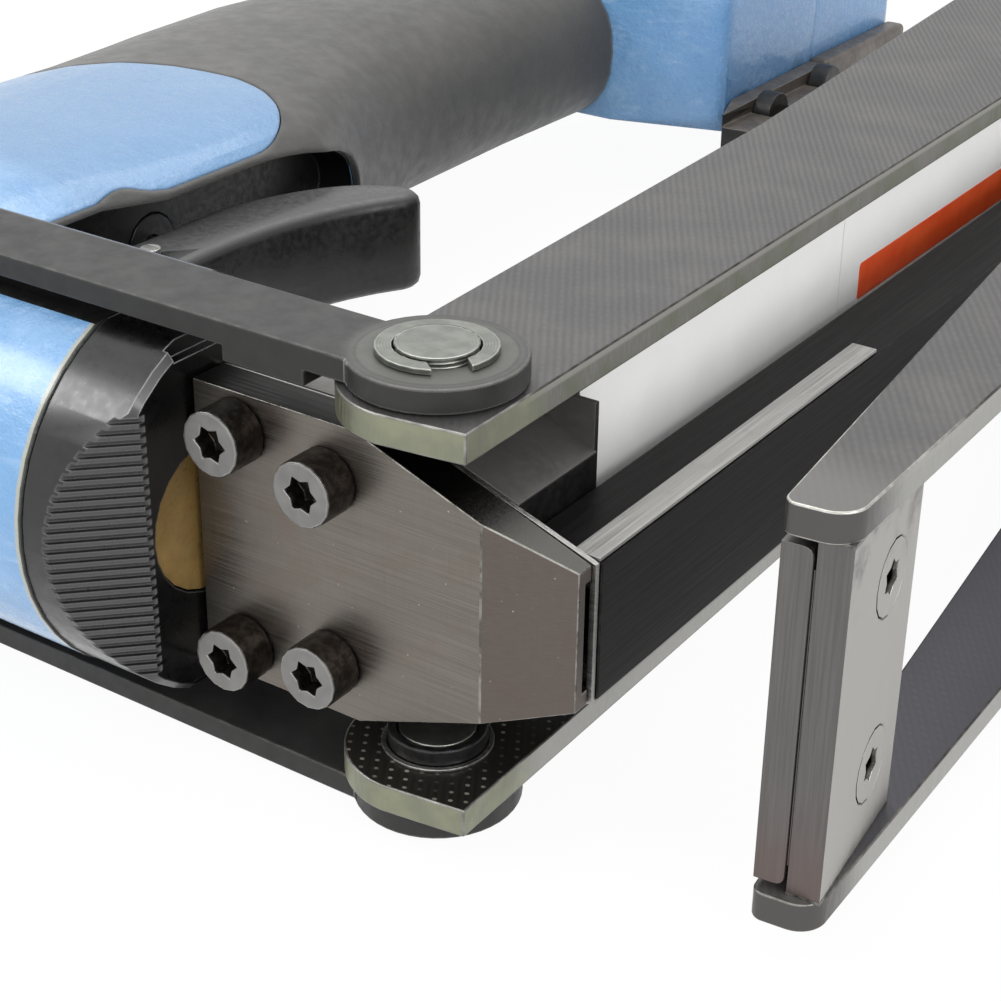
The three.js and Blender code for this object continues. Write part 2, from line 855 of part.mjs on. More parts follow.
function noseScrewPlaces() {
  return [
    [upperScrewX, upperScrewSpread],
    [lowerScrewX, lowerScrewSpread],
    [upperScrewX, -upperScrewSpread],
    [lowerScrewX, -lowerScrewSpread],
  ];
}

function drilled(body, radius) {
  return noseScrewPlaces().reduce((whole, [x, z]) => whole.subtract(
    rod('y', [x, z], radius, noseFace - overrun, noseScrewLength + gap, holeSides)), body);
}

function makeFrontPlate() {
  let plate = profileAlongY(noseOutline(noseHalf, noseTipHalf, noseTop, noseTip), noseFace, 0);
  const bevel = sheet(outline([
    [noseBevelStart, noseFace],
    [noseTip, noseFace + noseTipSetback],
    [noseTip + overrun, noseFace + noseTipSetback],
    [noseTip + overrun, noseFace - overrun],
    [noseBevelStart, noseFace - overrun],
  ]), -headRadius, headRadius);
  plate = plate.subtract(bevel);
  plate = plate.subtract(block([noseTop - overrun, noseTip + overrun],
    [bladeFront - gap, overrun], [-bladeHalfWidth - gap, bladeHalfWidth + gap]));
  return drilled(plate, noseScrewRadius + gap);
}

function makeGuide() {
  const top = collarBottom + gap;
  let guide = profileAlongY(noseOutline(noseBlockHalf, noseTipHalf, top, guideTip),
    guideFront, guideBack);
  guide = guide.subtract(block([bladeTip, guideTip - guideSill],
    [guideFront - overrun, guideBack + overrun], [-stapleHalf - gap, stapleHalf + gap]));
  return drilled(guide, noseScrewRadius + gap);
}

function makeNoseBlock() {
  const top = collarBottom + gap;
  let body = block([top, noseBlockBottom], [noseBlockFront, noseBlockBack],
    [-noseBlockHalf, noseBlockHalf]);
  const taper = profileAlongY(noseOutline(noseBlockHalf, noseTipHalf, top, noseTip),
    noseBlockFront, noseBlockBack);
  body = body.intersect(taper);
  return drilled(body, noseScrewRadius + gap);
}

function noseScrew(x, z) {
  const face = noseFace - gap - noseScrewHeadHeight;
  let screw = turned('y', [x, z], [
    [0, face],
    [noseScrewHeadRadius - gap, face],
    [noseScrewHeadRadius, face + gap],
    [noseScrewHeadRadius, noseFace - gap],
    [noseScrewRadius, noseFace - gap],
    [noseScrewRadius, noseScrewLength],
    [0, noseScrewLength],
  ], smallSides);
  const star = profileAlongY(starShape(), face - overrun, face + socketDepth);
  return screw.subtract(star.translate([x, 0, z]));
}

// Magazine: a closed channel with a wider foot
function makeMagazine() {
  const outer = outline([
    [magazineTop, -magazineTopHalf],
    [magazineLedge, -magazineTopHalf],
    [magazineLedge, -magazineHalf],
    [magazineBottom, -magazineHalf],
    [magazineBottom, magazineHalf],
    [magazineLedge, magazineHalf],
    [magazineLedge, magazineTopHalf],
    [magazineTop, magazineTopHalf],
  ]);
  const channel = profileAlongY(outer, magazineFront, magazineRear);
  const room = magazineTopHalf - magazineWall;
  return channel.subtract(block(
    [magazineTop + magazineWall, magazineBottom - magazineWall],
    [magazineFront - overrun, magazineRear + overrun], [-room, room]));
}

// Staples straddle the rail, so the strip, the rail and the pusher nest in one another
function saddle(top, foot, half, thickness, front, rear) {
  const body = block([top, foot], [front, rear], [-half, half]);
  return body.subtract(block([top + thickness, foot + overrun],
    [front - overrun, rear + overrun], [-half + thickness, half - thickness]));
}

const railHalf = stapleHalf - stapleWire - gap;
const railTop = stapleTop + stapleWire + gap;
const stripFront = magazineFront + gap;
const stripRear = stripFront + stapleStripLength;
const pusherFront = stripRear + gap;
const pusherRear = pusherFront + pusherLength;
const magazineEndFront = magazineRear - magazineEndLip;

function makeRail() {
  const rail = saddle(railTop, stapleFoot, railHalf, railWall, stripFront, magazineEndFront);
  const slotHalf = bladeThickness;
  return rail.subtract(block([railTop - overrun, railTop + railWall + overrun],
    [stripFront + pusherLength, magazineEndFront - pusherLength], [-slotHalf, slotHalf]));
}

function makePusher() {
  const hood = saddle(stapleTop, stapleFoot, stapleHalf, stapleWire, pusherFront, pusherRear);
  const neck = block([stapleTop, railTop + railWall + railFloor],
    [pusherFront + gap, pusherRear - gap], [-bladeThickness + gap, bladeThickness - gap]);
  const key = block([railTop + railWall + gap, stapleFoot],
    [pusherFront, pusherRear], [-pusherKeyHalf, pusherKeyHalf]);
  return hood.add(neck).add(key);
}

// A closed tube of five-sided rings along a coil
function makeSpring(front, rear) {
  const positions = [];
  const index = [];
  const wireSides = 5;
  const steps = springCurls * 8;
  const middle = (railTop + railWall + stapleFoot) / 2;
  const pitch = (rear - front - springWire * 2) / springCurls;
  const centres = [];
  for (let i = 0; i <= steps; i += 1) {
    const turn = (2 * Math.PI * i) / 8;
    const y = front + springWire + (pitch * i) / 8;
    const c = Math.cos(turn);
    const s = Math.sin(turn);
    centres.push([middle + springRadius * c, y, springRadius * s]);
    for (let k = 0; k < wireSides; k += 1) {
      const around = (2 * Math.PI * k) / wireSides;
      const out = springRadius + springWire * Math.cos(around);
      const lift = springWire * Math.sin(around);
      positions.push(middle + out * c, y + lift, out * s);
    }
  }
  for (let i = 0; i < steps; i += 1) {
    for (let k = 0; k < wireSides; k += 1) {
      const a = i * wireSides + k;
      const b = i * wireSides + ((k + 1) % wireSides);
      index.push(a, b + wireSides, b, a, a + wireSides, b + wireSides);
    }
  }
  const last = steps * wireSides;
  for (let k = 1; k < wireSides - 1; k += 1) {
    index.push(0, k, k + 1);
    index.push(last, last + k + 1, last + k);
  }
  let least = Infinity;
  for (let i = 0; i < centres.length; i += 1) {
    for (let j = i + 5; j < centres.length; j += 1) {
      const [ax, ay, az] = centres[i];
      const [bx, by, bz] = centres[j];
      least = Math.min(least, Math.hypot(ax - bx, ay - by, az - bz));
    }
  }
  console.log('pusher spring, least gap to itself in mm:', (least - springWire * 2).toFixed(2));
  const geometry = new THREE.BufferGeometry();
  geometry.setAttribute('position', new THREE.Float32BufferAttribute(positions, 3));
  geometry.setIndex(index);
  const body = solid(geometry);
  return body.volume() < 0 ? solid(flipped(geometry)) : body;
}

function makeMagazineEnd() {
  const plug = block([magazineTop + magazineWall + gap, magazineBottom - magazineWall - gap],
    [magazineEndFront + gap, magazineRear + gap + overrun],
    [-stapleHalf + gap, stapleHalf - gap]);
  const cover = block([magazineTop, magazineBottom],
    [magazineRear + gap, magazineRear + magazineEndLength], [-magazineHalf, magazineHalf]);
  const knob = rod('y', [(magazineTop + magazineBottom) / 2, 0], magazineKnobRadius,
    magazineRear + gap, magazineRear + magazineEndLength + magazineKnobLength, smallSides);
  return plug.add(cover).add(knob);
}

// Jaw side plate: two legs that part at a round throat and meet at the hub
function jawOutline() {
  const shape = new THREE.Shape();
  const quarter = Math.PI / 2;
  const [throatLowX, throatLowY] = opened(anvilFace, throatDepth);
  const throatMidX = (plateLowerEdge + throatLowX) / 2;
  const throatRadius = (throatLowX - plateLowerEdge) / 2;
  shape.moveTo(plateCornerX, plateCornerY);
  shape.lineTo(plateLowerEdge, throatDepth - throatRadius);
  shape.absarc(throatMidX, throatDepth - throatRadius, throatRadius,
    Math.PI, openAngle * 2, true);
  const topFront = opened(anvilFace, armFront + armTopRadius);
  shape.lineTo(topFront[0], topFront[1]);
  const upperCorner = opened(anvilFace + armTopRadius, armFront + armTopRadius);
  shape.absarc(upperCorner[0], upperCorner[1], armTopRadius,
    Math.PI + openAngle, Math.PI + quarter + openAngle, false);
  const lowerCorner = opened(armLowerFront - armEndRadius, armFront + armEndRadius);
  shape.absarc(lowerCorner[0], lowerCorner[1], armEndRadius,
    -quarter + openAngle, openAngle, false);
  const heel = opened(armLowerRear, throatDepth);
  shape.lineTo(heel[0], heel[1]);
  shape.absarc(pivotX, pivotY, hubRadius, Math.PI / 5, Math.PI, false);
  shape.lineTo(plateUpperRear, plateUpperBend);
  shape.lineTo(plateUpperFront, 0);
  shape.absarc(0, 0, plateNoseRadius, Math.PI, Math.PI + quarter, false);
  shape.closePath();
  return shape;
}

function makeJawPlate() {
  const plate = sheet(jawOutline(), plateInner, plateOuter, 10);
  const nose = rod('z', [0, 0], pinRadius + gap, plateInner - overrun, plateOuter + overrun,
    smallSides);
  const pivot = rod('z', [pivotX, pivotY], pinRadius + gap, plateInner - overrun,
    plateOuter + overrun, smallSides);
  return plate.subtract(nose).subtract(pivot);
}

function makeWeb() {
  const half = plateInner - gap;
  const rear = bracketFront - overrun;
  const web = block([webFace - webThickness, webFace], [webFront, rear], [-half, half]);
  const flange = block([webFace - webThickness - webEdge, webFace], [webFront, rear],
    [half - webThickness, half]);
  return web.add(flange).add(mirrored(flange));
}

const insertTop = anvilFace;
const insertBottom = insertTop + insertThickness;
const anvilBarTop = insertBottom + gap;
const anvilBarBottom = anvilBarTop + anvilBarThickness;
const anvilRear = anvilFront + anvilDepth;
const anvilScrewY = anvilFront + anvilScrewSetback;
const anvilHalf = plateInner - gap;
const anvilSink = anvilScrewHead - anvilScrewRadius;

// Hardened insert that the staple legs are clinched against, its outer ends rounded
function makeInsert() {
  const half = anvilHalf - insertInset;
  const shape = new THREE.Shape();
  shape.moveTo(insertTop, -half);
  shape.lineTo(insertBottom - insertEndRadius, -half);
  shape.quadraticCurveTo(insertBottom, -half, insertBottom, insertEndRadius - half);
  shape.lineTo(insertBottom, half - insertEndRadius);
  shape.quadraticCurveTo(insertBottom, half, insertBottom - insertEndRadius, half);
  shape.lineTo(insertTop, half);
  shape.closePath();
  let insert = profileAlongY(shape, anvilFront - insertLead, anvilRear, 4);
  const pocket = rod('z', [insertTop - clinchGroove, bladeFront], clinchGroove * 2,
    -stapleHalf - stapleWire, stapleHalf + stapleWire, holeSides);
  insert = insert.subtract(pocket);
  for (const z of [-anvilScrewSpread, anvilScrewSpread]) {
    insert = insert.subtract(rod('x', [anvilScrewY, z], anvilScrewRadius + gap,
      insertBottom - anvilScrewRadius, insertBottom + overrun, holeSides));
  }
  return openJaw(insert);
}

// Crossbar between the two arms, countersunk from below for the insert's screws
function makeAnvilBar() {
  let bar = block([anvilBarTop, anvilBarBottom], [anvilFront, anvilRear],
    [-anvilHalf, anvilHalf]);
  for (const z of [-anvilScrewSpread, anvilScrewSpread]) {
    bar = bar.subtract(turned('x', [anvilScrewY, z], [
      [0, anvilBarTop - overrun],
      [anvilScrewRadius + gap, anvilBarTop - overrun],
      [anvilScrewRadius + gap, anvilBarBottom - anvilSink],
      [anvilScrewHead + gap, anvilBarBottom],
      [anvilScrewHead + gap, anvilBarBottom + overrun],
      [0, anvilBarBottom + overrun],
    ], smallSides));
  }
  return openJaw(bar);
}

function anvilScrew(z) {
  let screw = turned('x', [anvilScrewY, z], [
    [0, insertBottom - anvilScrewRadius + gap],
    [anvilScrewRadius, insertBottom - anvilScrewRadius + gap],
    [anvilScrewRadius, anvilBarBottom - anvilSink],
    [anvilScrewHead, anvilBarBottom],
    [0, anvilBarBottom],
  ], smallSides);
  const star = sheet(starShape(), 0, socketDepth).rotate([0, 90, 0]);
  screw = screw.subtract(star.translate([anvilBarBottom - socketDepth / 2, anvilScrewY, z]));
  return openJaw(screw);
}

function nosePin() {
  const inner = noseHalf + gap;
  let pin = rod('z', [0, 0], pinRadius, inner, restHalf, mediumSides);
  const grooveLow = barOuter + gap / 3;
  const groove = turned('z', [0, 0], [
    [pinRadius - gap * 3, grooveLow],
    [pinRadius + overrun, grooveLow],
    [pinRadius + overrun, restHalf - gap],
    [pinRadius - gap * 3, restHalf - gap],
  ], mediumSides);
  return pin.subtract(groove);
}

// An E-clip round the pin's groove, open towards the nose plate
function eClip() {
  const low = barOuter + gap / 2;
  const high = Math.min(low + clipThickness, restHalf - gap);
  let clip = rod('z', [0, 0], clipRadius, low, high, mediumSides);
  clip = clip.subtract(rod('z', [0, 0], pinRadius + gap, low - overrun, high + overrun,
    mediumSides));
  const mouth = block([0, clipRadius + overrun], [-clipMouth / 2, clipMouth / 2],
    [low - overrun, high + overrun]);
  return clip.subtract(mouth.rotate([0, 0, -40]));
}

function noseBush() {
  const low = noseHalf + gap;
  return turned('z', [0, 0], [
    [pinRadius + gap, low],
    [bushRadius, low],
    [bushRadius, low + bushHeight],
    [pinRadius + gap, low + bushHeight],
  ], mediumSides);
}

const barMiddle = barFront + barWidth / 2;
const crossheadScrewX = (crossheadTop + crossheadBottom) / 2;

function pullBar(hasPad) {
  const rear = barFront + barWidth;
  let bar = block([barTop, 0], [barFront, rear], [barInner, barOuter]);
  bar = bar.add(rod('z', [0, 0], barEyeRadius, barInner, barOuter, largeSides));
  if (hasPad) {
    bar = bar.add(block([padStart, padStart + padLength], [barFront, rear],
      [barInner - padThickness, barOuter]));
  }
  bar = bar.subtract(rod('z', [0, 0], pinRadius + gap, barInner - padThickness - overrun,
    barOuter + overrun, smallSides));
  bar = bar.subtract(rod('z', [crossheadScrewX, barMiddle], crossheadScrewRadius + gap,
    barInner - overrun, barOuter + overrun, holeSides));
  return bar.subtract(rod('z', [crossheadScrewX, barMiddle], crossheadScrewHead + gap,
    barOuter - crossheadScrewSeat, barOuter + overrun, smallSides));
}

function crossheadScrew() {
  const seat = barOuter - crossheadScrewSeat + gap / 2;
  const foot = barInner - crossheadScrewLength;
  return turned('z', [crossheadScrewX, barMiddle], [
    [0, -foot],
    [crossheadScrewRadius, -foot],
    [crossheadScrewRadius, -seat],
    [crossheadScrewHead, -seat],
    [crossheadScrewHead, -restHalf],
    [0, -restHalf],
  ], smallSides);
}

function makeCrosshead() {
  const half = barInner - gap;
  let head = block([crossheadTop, crossheadBottom], [barFront, barFront + crossheadDepth],
    [-half, half]);
  head = head.subtract(rod('x', [headAxis, 0], rodRadius + crossheadPlay,
    crossheadTop - overrun, crossheadBottom + overrun, smallSides));
  const hole = rod('z', [crossheadScrewX, barMiddle], crossheadScrewRadius + gap,
    half - crossheadScrewLength - gap, half + overrun, holeSides);
  return head.subtract(hole).subtract(mirrored(hole));
}

function makeClampPiston() {
  const discBottom = capBottom + clampStroke + clampDisc + gap * 2;
  const rodTop = crossheadTop - rodNutHeight;
  return turned('x', [headAxis, 0], [
    [0, rodTop],
    [rodRadius, rodTop],
    [rodRadius, discBottom - clampDisc],
    [clampBore - gap, discBottom - clampDisc],
    [clampBore - gap, discBottom],
    [0, discBottom],
  ], mediumSides);
}

function makeRodNut() {
  const nut = rod('x', [headAxis, 0], rodNutRadius, crossheadTop - gap - rodNutHeight,
    crossheadTop - gap, 6);
  return nut.subtract(rod('x', [headAxis, 0], rodRadius + gap,
    crossheadTop - rodNutHeight - overrun, crossheadTop + overrun, smallSides));
}

// Trigger: a soft paddle with two ears on the hinge pin, hollowed on the finger side, with a
// lip at its rear end
function makeTrigger() {
  const earRadius = triggerPinX - triggerTop;
  const shape = new THREE.Shape();
  shape.moveTo(triggerTop, triggerBackEnd);
  shape.lineTo(triggerTop, triggerPinY);
  shape.absarc(triggerPinX, triggerPinY, earRadius, Math.PI, Math.PI * 2, false);
  shape.quadraticCurveTo(triggerPinX + earRadius - triggerHollow, triggerBackEnd + triggerTail,
    triggerLip, triggerLipStart);
  shape.quadraticCurveTo(triggerLip + triggerHollow, triggerRear, triggerLip - triggerTail,
    triggerRear);
  shape.quadraticCurveTo(triggerTop + triggerTail, triggerRear - triggerTail, triggerTop,
    triggerBackEnd);
  shape.closePath();
  let trigger = softSheet(shape, -triggerHalf, triggerHalf, triggerRound);
  trigger = trigger.subtract(rod('z', [triggerPinX, triggerPinY], triggerPinRadius + gap,
    -headRadius, headRadius, holeSides));
  const room = hingeBossRadius + gap * 4;
  trigger = trigger.subtract(block([triggerSlotTop, 0],
    [triggerSlotFront, triggerPinY + room],
    [-hingeBossHalf - gap, hingeBossHalf + gap]));
  return trigger;
}

function makeValveBody() {
  const top = valveX - valveLength;
  const bottom = triggerSlotTop + gap;
  return turned('x', [valveY, 0], [
    [valveStemRadius + gap, top + gap],
    [valveRadius, top + gap],
    [valveRadius, bottom],
    [valveStemRadius + gap, bottom],
  ], smallSides);
}

function makeValveStem() {
  const top = valveX - valveLength + gap;
  return rod('x', [valveY, 0], valveStemRadius, top + valveStemTravel * 2,
    triggerTop - gap, holeSides);
}

const bracketBottom = magazineTop - gap;

// Rear bracket: one cheek with a rail under the foot, a hub for the jaw pivot and a saddle
// over the magazine
function makeBracket() {
  const rear = footRear - footRadius;
  const seat = footBottom + gap;
  const rail = sheet(outline([
    [seat, bracketFront + bracketLean],
    [seat + bracketFlange, bracketFront],
    [seat + bracketFlange, rear],
    [seat, rear],
  ]), -bracketHalf, railWidth - bracketHalf);
  const saddleTop = bracketBottom - bracketFlange;
  const cheek = sheet(outline([
    [seat, bracketFront + bracketLean],
    [seat + bracketFlange, bracketFront],
    [saddleTop, bracketFront + bracketLean],
    [bracketBottom, bracketFront + bracketLean],
    [bracketBottom, magazineRear],
    [saddleTop, magazineRear],
    [seat, rear],
  ]), -bracketHalf, cheekThickness - bracketHalf);
  const hub = rod('z', [pivotX, pivotY], bracketHubRadius, -plateInner + gap, plateInner - gap);
  const base = block([saddleTop, bracketBottom], [bracketFront + bracketLean, magazineRear],
    [-bracketHalf, bracketHalf]);
  const grasp = magazineHalf + gap * 2 + trackStripThickness;
  const claw = block([saddleTop, magazineBottom - overrun],
    [bracketFront + bracketLean, magazineRear], [-bracketHalf, -grasp]);
  let body = joined([rail, cheek, claw, mirrored(claw), base, hub]);
  body = body.subtract(rod('z', [pivotX, pivotY], pinRadius + gap, -headRadius, headRadius,
    smallSides));
  for (const [y, z] of bracketScrewPlaces()) {
    body = body.subtract(rod('x', [y, z], bracketScrewRadius + gap, footBottom - overrun,
      seat + bracketFlange + overrun, holeSides));
    body = body.subtract(rod('x', [y, z], bracketScrewHeadRadius + gap,
      seat + bracketFlange, seat + bracketFlange + bracketScrewHeadHeight * 2, smallSides));
  }
  return body;
}

function bracketScrew(y, z) {
  const seat = footBottom + gap + bracketFlange + gap;
  return turned('x', [y, z], [
    [0, footBottom - bracketScrewLength + gap],
    [bracketScrewRadius, footBottom - bracketScrewLength + gap],
    [bracketScrewRadius, seat],
    [bracketScrewHeadRadius, seat],
    [bracketScrewHeadRadius, seat + bracketScrewHeadHeight],
    [0, seat + bracketScrewHeadHeight],
  ], smallSides);
}

function makePivotPin() {
  const shank = rod('z', [pivotX, pivotY], pinRadius, -plateOuter - gap * 2,
    restHalf - pinProud, mediumSides);
  const head = rod('z', [pivotX, pivotY], pivotHeadRadius, -restHalf, -plateOuter - gap,
    mediumSides);
  return shank.add(head);
}

function makePivotNut() {
  const nut = rod('z', [pivotX, pivotY], pivotHeadRadius, plateOuter + gap, restHalf, 6);
  return nut.subtract(rod('z', [pivotX, pivotY], pinRadius + gap, plateOuter - overrun,
    restHalf + overrun, smallSides));
}

function makeEndCap() {
  const front = handleRear + gap;
  const section = handleLoft(0, handleRear - overrun, handleRear);
  const near = section.translate([0, front - handleRear + overrun, 0]);
  const cap = wasm.Manifold.hull([near, near.translate([0, endCapLength - overrun, 0])]);
  return cap.subtract(rod('y', [inletX, 0], inletRadius + gap, handleRear - overrun,
    handleRear + endCapLength + overrun * 2, smallSides));
}

function makeInlet() {
  const cap = handleRear + gap + endCapLength;
  const hexFront = cap + gap;
  const hexRear = hexFront + inletHexLength;
  const hex = rod('y', [inletX, 0], inletHexRadius, hexFront, hexRear, 6);
  const tube = rod('y', [inletX, 0], inletRadius, cap - inletSpigot, hexRear + inletLength,
    mediumSides);
  return hex.add(tube).subtract(rod('y', [inletX, 0], inletBore, cap - inletSpigot - overrun,
    hexRear + inletLength + overrun, smallSides));
}

add('body_housing', makeHousing(), ...bluePaint);
add('grip_sleeve', makeGrip(), ...gripRubber);
add('bottom_collar', makeCollar(), ...blackOxide);
add('cylinder_cap', makeCap(), ...bluePaint);
capScrewPlaces().forEach(([y, z], i) => {
  add(`cap_screw_${i + 1}`, capScrew(y, z), ...darkSteel);
});
add('driver_sleeve', makeSleeve(), ...brightSteel);
add('piston', makePiston(), ...brightSteel);
add('driver_blade', block([pistonBottom - bladeRoot + gap, bladeTip], [bladeFront, bladeBack],
  [-bladeHalfWidth, bladeHalfWidth]), ...brightSteel);
add('bumper', makeBumper(), ...amberPlastic);
add('nose_block', makeNoseBlock(), ...darkSteel);
add('driver_guide', makeGuide(), ...darkSteel);
add('front_plate', makeFrontPlate(), ...noseSteel);
noseScrewPlaces().forEach(([x, z], i) => {
  add(`front_screw_${i + 1}`, noseScrew(x, z), ...darkSteel);
});
add('magazine_channel', makeMagazine(), ...blackOxide);
add('staple_rail', makeRail(), ...brightSteel);
add('staple_strip', saddle(stapleTop, stapleFoot, stapleHalf, stapleWire, stripFront,
  stripRear), ...zincWire);
add('pusher', makePusher(), ...darkSteel);
add('pusher_spring', makeSpring(pusherRear + gap, magazineEndFront - gap), ...springSteel);
add('magazine_end', makeMagazineEnd(), ...blackPlastic);
const trackStrip = block([magazineLedge + trackStripInset, magazineBottom - trackStripInset],
  [magazineFront, magazineFront + trackStripLength],
  [magazineHalf + gap / 2, magazineHalf + gap / 2 + trackStripThickness]);
add('track_strip_left', trackStrip, ...brightSteel);
add('track_strip_right', mirrored(trackStrip), ...brightSteel);
add('rear_bracket', makeBracket(), ...blackOxide);
bracketScrewPlaces().forEach(([y, z], i) => {
  add(`bracket_screw_${i + 1}`, bracketScrew(y, z), ...blackOxide);
});
add('pivot_pin', makePivotPin(), ...darkSteel);
add('pivot_nut', makePivotNut(), ...darkSteel);
add('handle_end_cap', makeEndCap(), ...blackPlastic);
add('air_inlet', makeInlet(), ...brightSteel);
add('trigger', makeTrigger(), ...blackPlastic);
add('trigger_pin', rod('z', [triggerPinX, triggerPinY], triggerPinRadius,
  -triggerPinLength / 2, triggerPinLength / 2, holeSides),
...brightSteel);
add('valve_body', makeValveBody(), ...brightSteel);
add('valve_stem', makeValveStem(), ...brightSteel);
add('clamp_piston', makeClampPiston(), ...brightSteel);
add('rod_nut', makeRodNut(), ...darkSteel);
add('crosshead', makeCrosshead(), ...blackOxide);
add('pull_bar_left', pullBar(true), ...darkSteel);
add('pull_bar_right', mirrored(pullBar(false)), ...darkSteel);
add('crosshead_screw_left', mirrored(crossheadScrew()), ...darkSteel);
add('crosshead_screw_right', crossheadScrew(), ...darkSteel);
add('jaw_plate_left', makeJawPlate(), ...darkSteel);
add('jaw_plate_right', mirrored(makeJawPlate()), ...darkSteel);
add('jaw_web', makeWeb(), ...darkSteel);
add('anvil_insert', makeInsert(), ...darkSteel);
add('anvil_bar', makeAnvilBar(), ...noseSteel);
add('anvil_screw_1', anvilScrew(anvilScrewSpread), ...darkSteel);
add('anvil_screw_2', anvilScrew(-anvilScrewSpread), ...darkSteel);
add('nose_pin_left', nosePin(), ...darkSteel);
add('nose_pin_right', mirrored(nosePin()), ...darkSteel);
add('nose_clip_left', eClip(), ...brightSteel);
add('nose_clip_right', mirrored(eClip()), ...brightSteel);
add('nose_bush_left', noseBush(), ...blackPlastic);
add('nose_bush_right', mirrored(noseBush()), ...blackPlastic);

export default part;
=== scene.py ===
# Looks, light and camera for the carton closing stapler.
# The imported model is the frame; lengths here are in millimetres and turned to metres
# where Blender takes them. X runs down the tool, Y back along the magazine, Z up.
import math

import bpy
from mathutils import Matrix, Vector


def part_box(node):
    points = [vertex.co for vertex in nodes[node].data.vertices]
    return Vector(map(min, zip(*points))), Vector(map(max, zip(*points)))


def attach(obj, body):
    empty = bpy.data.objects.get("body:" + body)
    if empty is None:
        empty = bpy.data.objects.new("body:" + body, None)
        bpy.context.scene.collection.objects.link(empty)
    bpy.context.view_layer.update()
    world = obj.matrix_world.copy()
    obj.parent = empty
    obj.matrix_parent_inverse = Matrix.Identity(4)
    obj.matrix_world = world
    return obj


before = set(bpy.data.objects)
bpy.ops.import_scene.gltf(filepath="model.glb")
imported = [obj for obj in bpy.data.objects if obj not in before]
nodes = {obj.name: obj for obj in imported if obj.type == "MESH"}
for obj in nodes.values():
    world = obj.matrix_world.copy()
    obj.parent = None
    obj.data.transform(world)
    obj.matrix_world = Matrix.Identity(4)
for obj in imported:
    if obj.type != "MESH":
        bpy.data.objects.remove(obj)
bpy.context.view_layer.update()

MM = 0.001


def reach(node, side, axis):
    """Where a CAD node's box ends, in millimetres. Side: 0 for its low end, 1 for its high one."""
    return round(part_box(node)[side][axis] / MM, 3)


def centre(node, axis):
    """The middle of a CAD node's box along an axis, in millimetres."""
    return (reach(node, 0, axis) + reach(node, 1, axis)) / 2


# Places on the tool
MIDDLE = centre("body_housing", 2)              # height of its middle plane above the floor
CYLINDER_MOUTH = reach("body_housing", 1, 0)    # X of the cylinder's lower end
HEAD_REAR = reach("cylinder_cap", 1, 1)         # Y of the cylinder's rear side
BODY_END = reach("body_housing", 1, 1)          # Y of the foot's rear end
FOOT_LENGTH, FOOT_HALF = 68.0, 18.5             # length of the foot, and half its width
FOOT_BOTTOM = -97.0                             # X of its lower side
FOOT_START = BODY_END - FOOT_LENGTH
WEB_FACE = reach("jaw_web", 1, 0)               # X of the web's face that carries the label
PLATE_INNER = reach("jaw_plate_left", 0, 2) - MIDDLE    # half the gap between the jaw plates
TRIGGER_PIVOT = (centre("trigger_pin", 0), centre("trigger_pin", 1))
ANVIL_BAR_THICKNESS = 4.9


# Node materials
def linear(red, green, blue):
    """A screen colour of 0 to 255, as the shader wants it."""
    def one(value):
        value /= 255
        return value / 12.92 if value <= 0.04045 else ((value + 0.055) / 1.055) ** 2.4
    return (one(red), one(green), one(blue), 1)


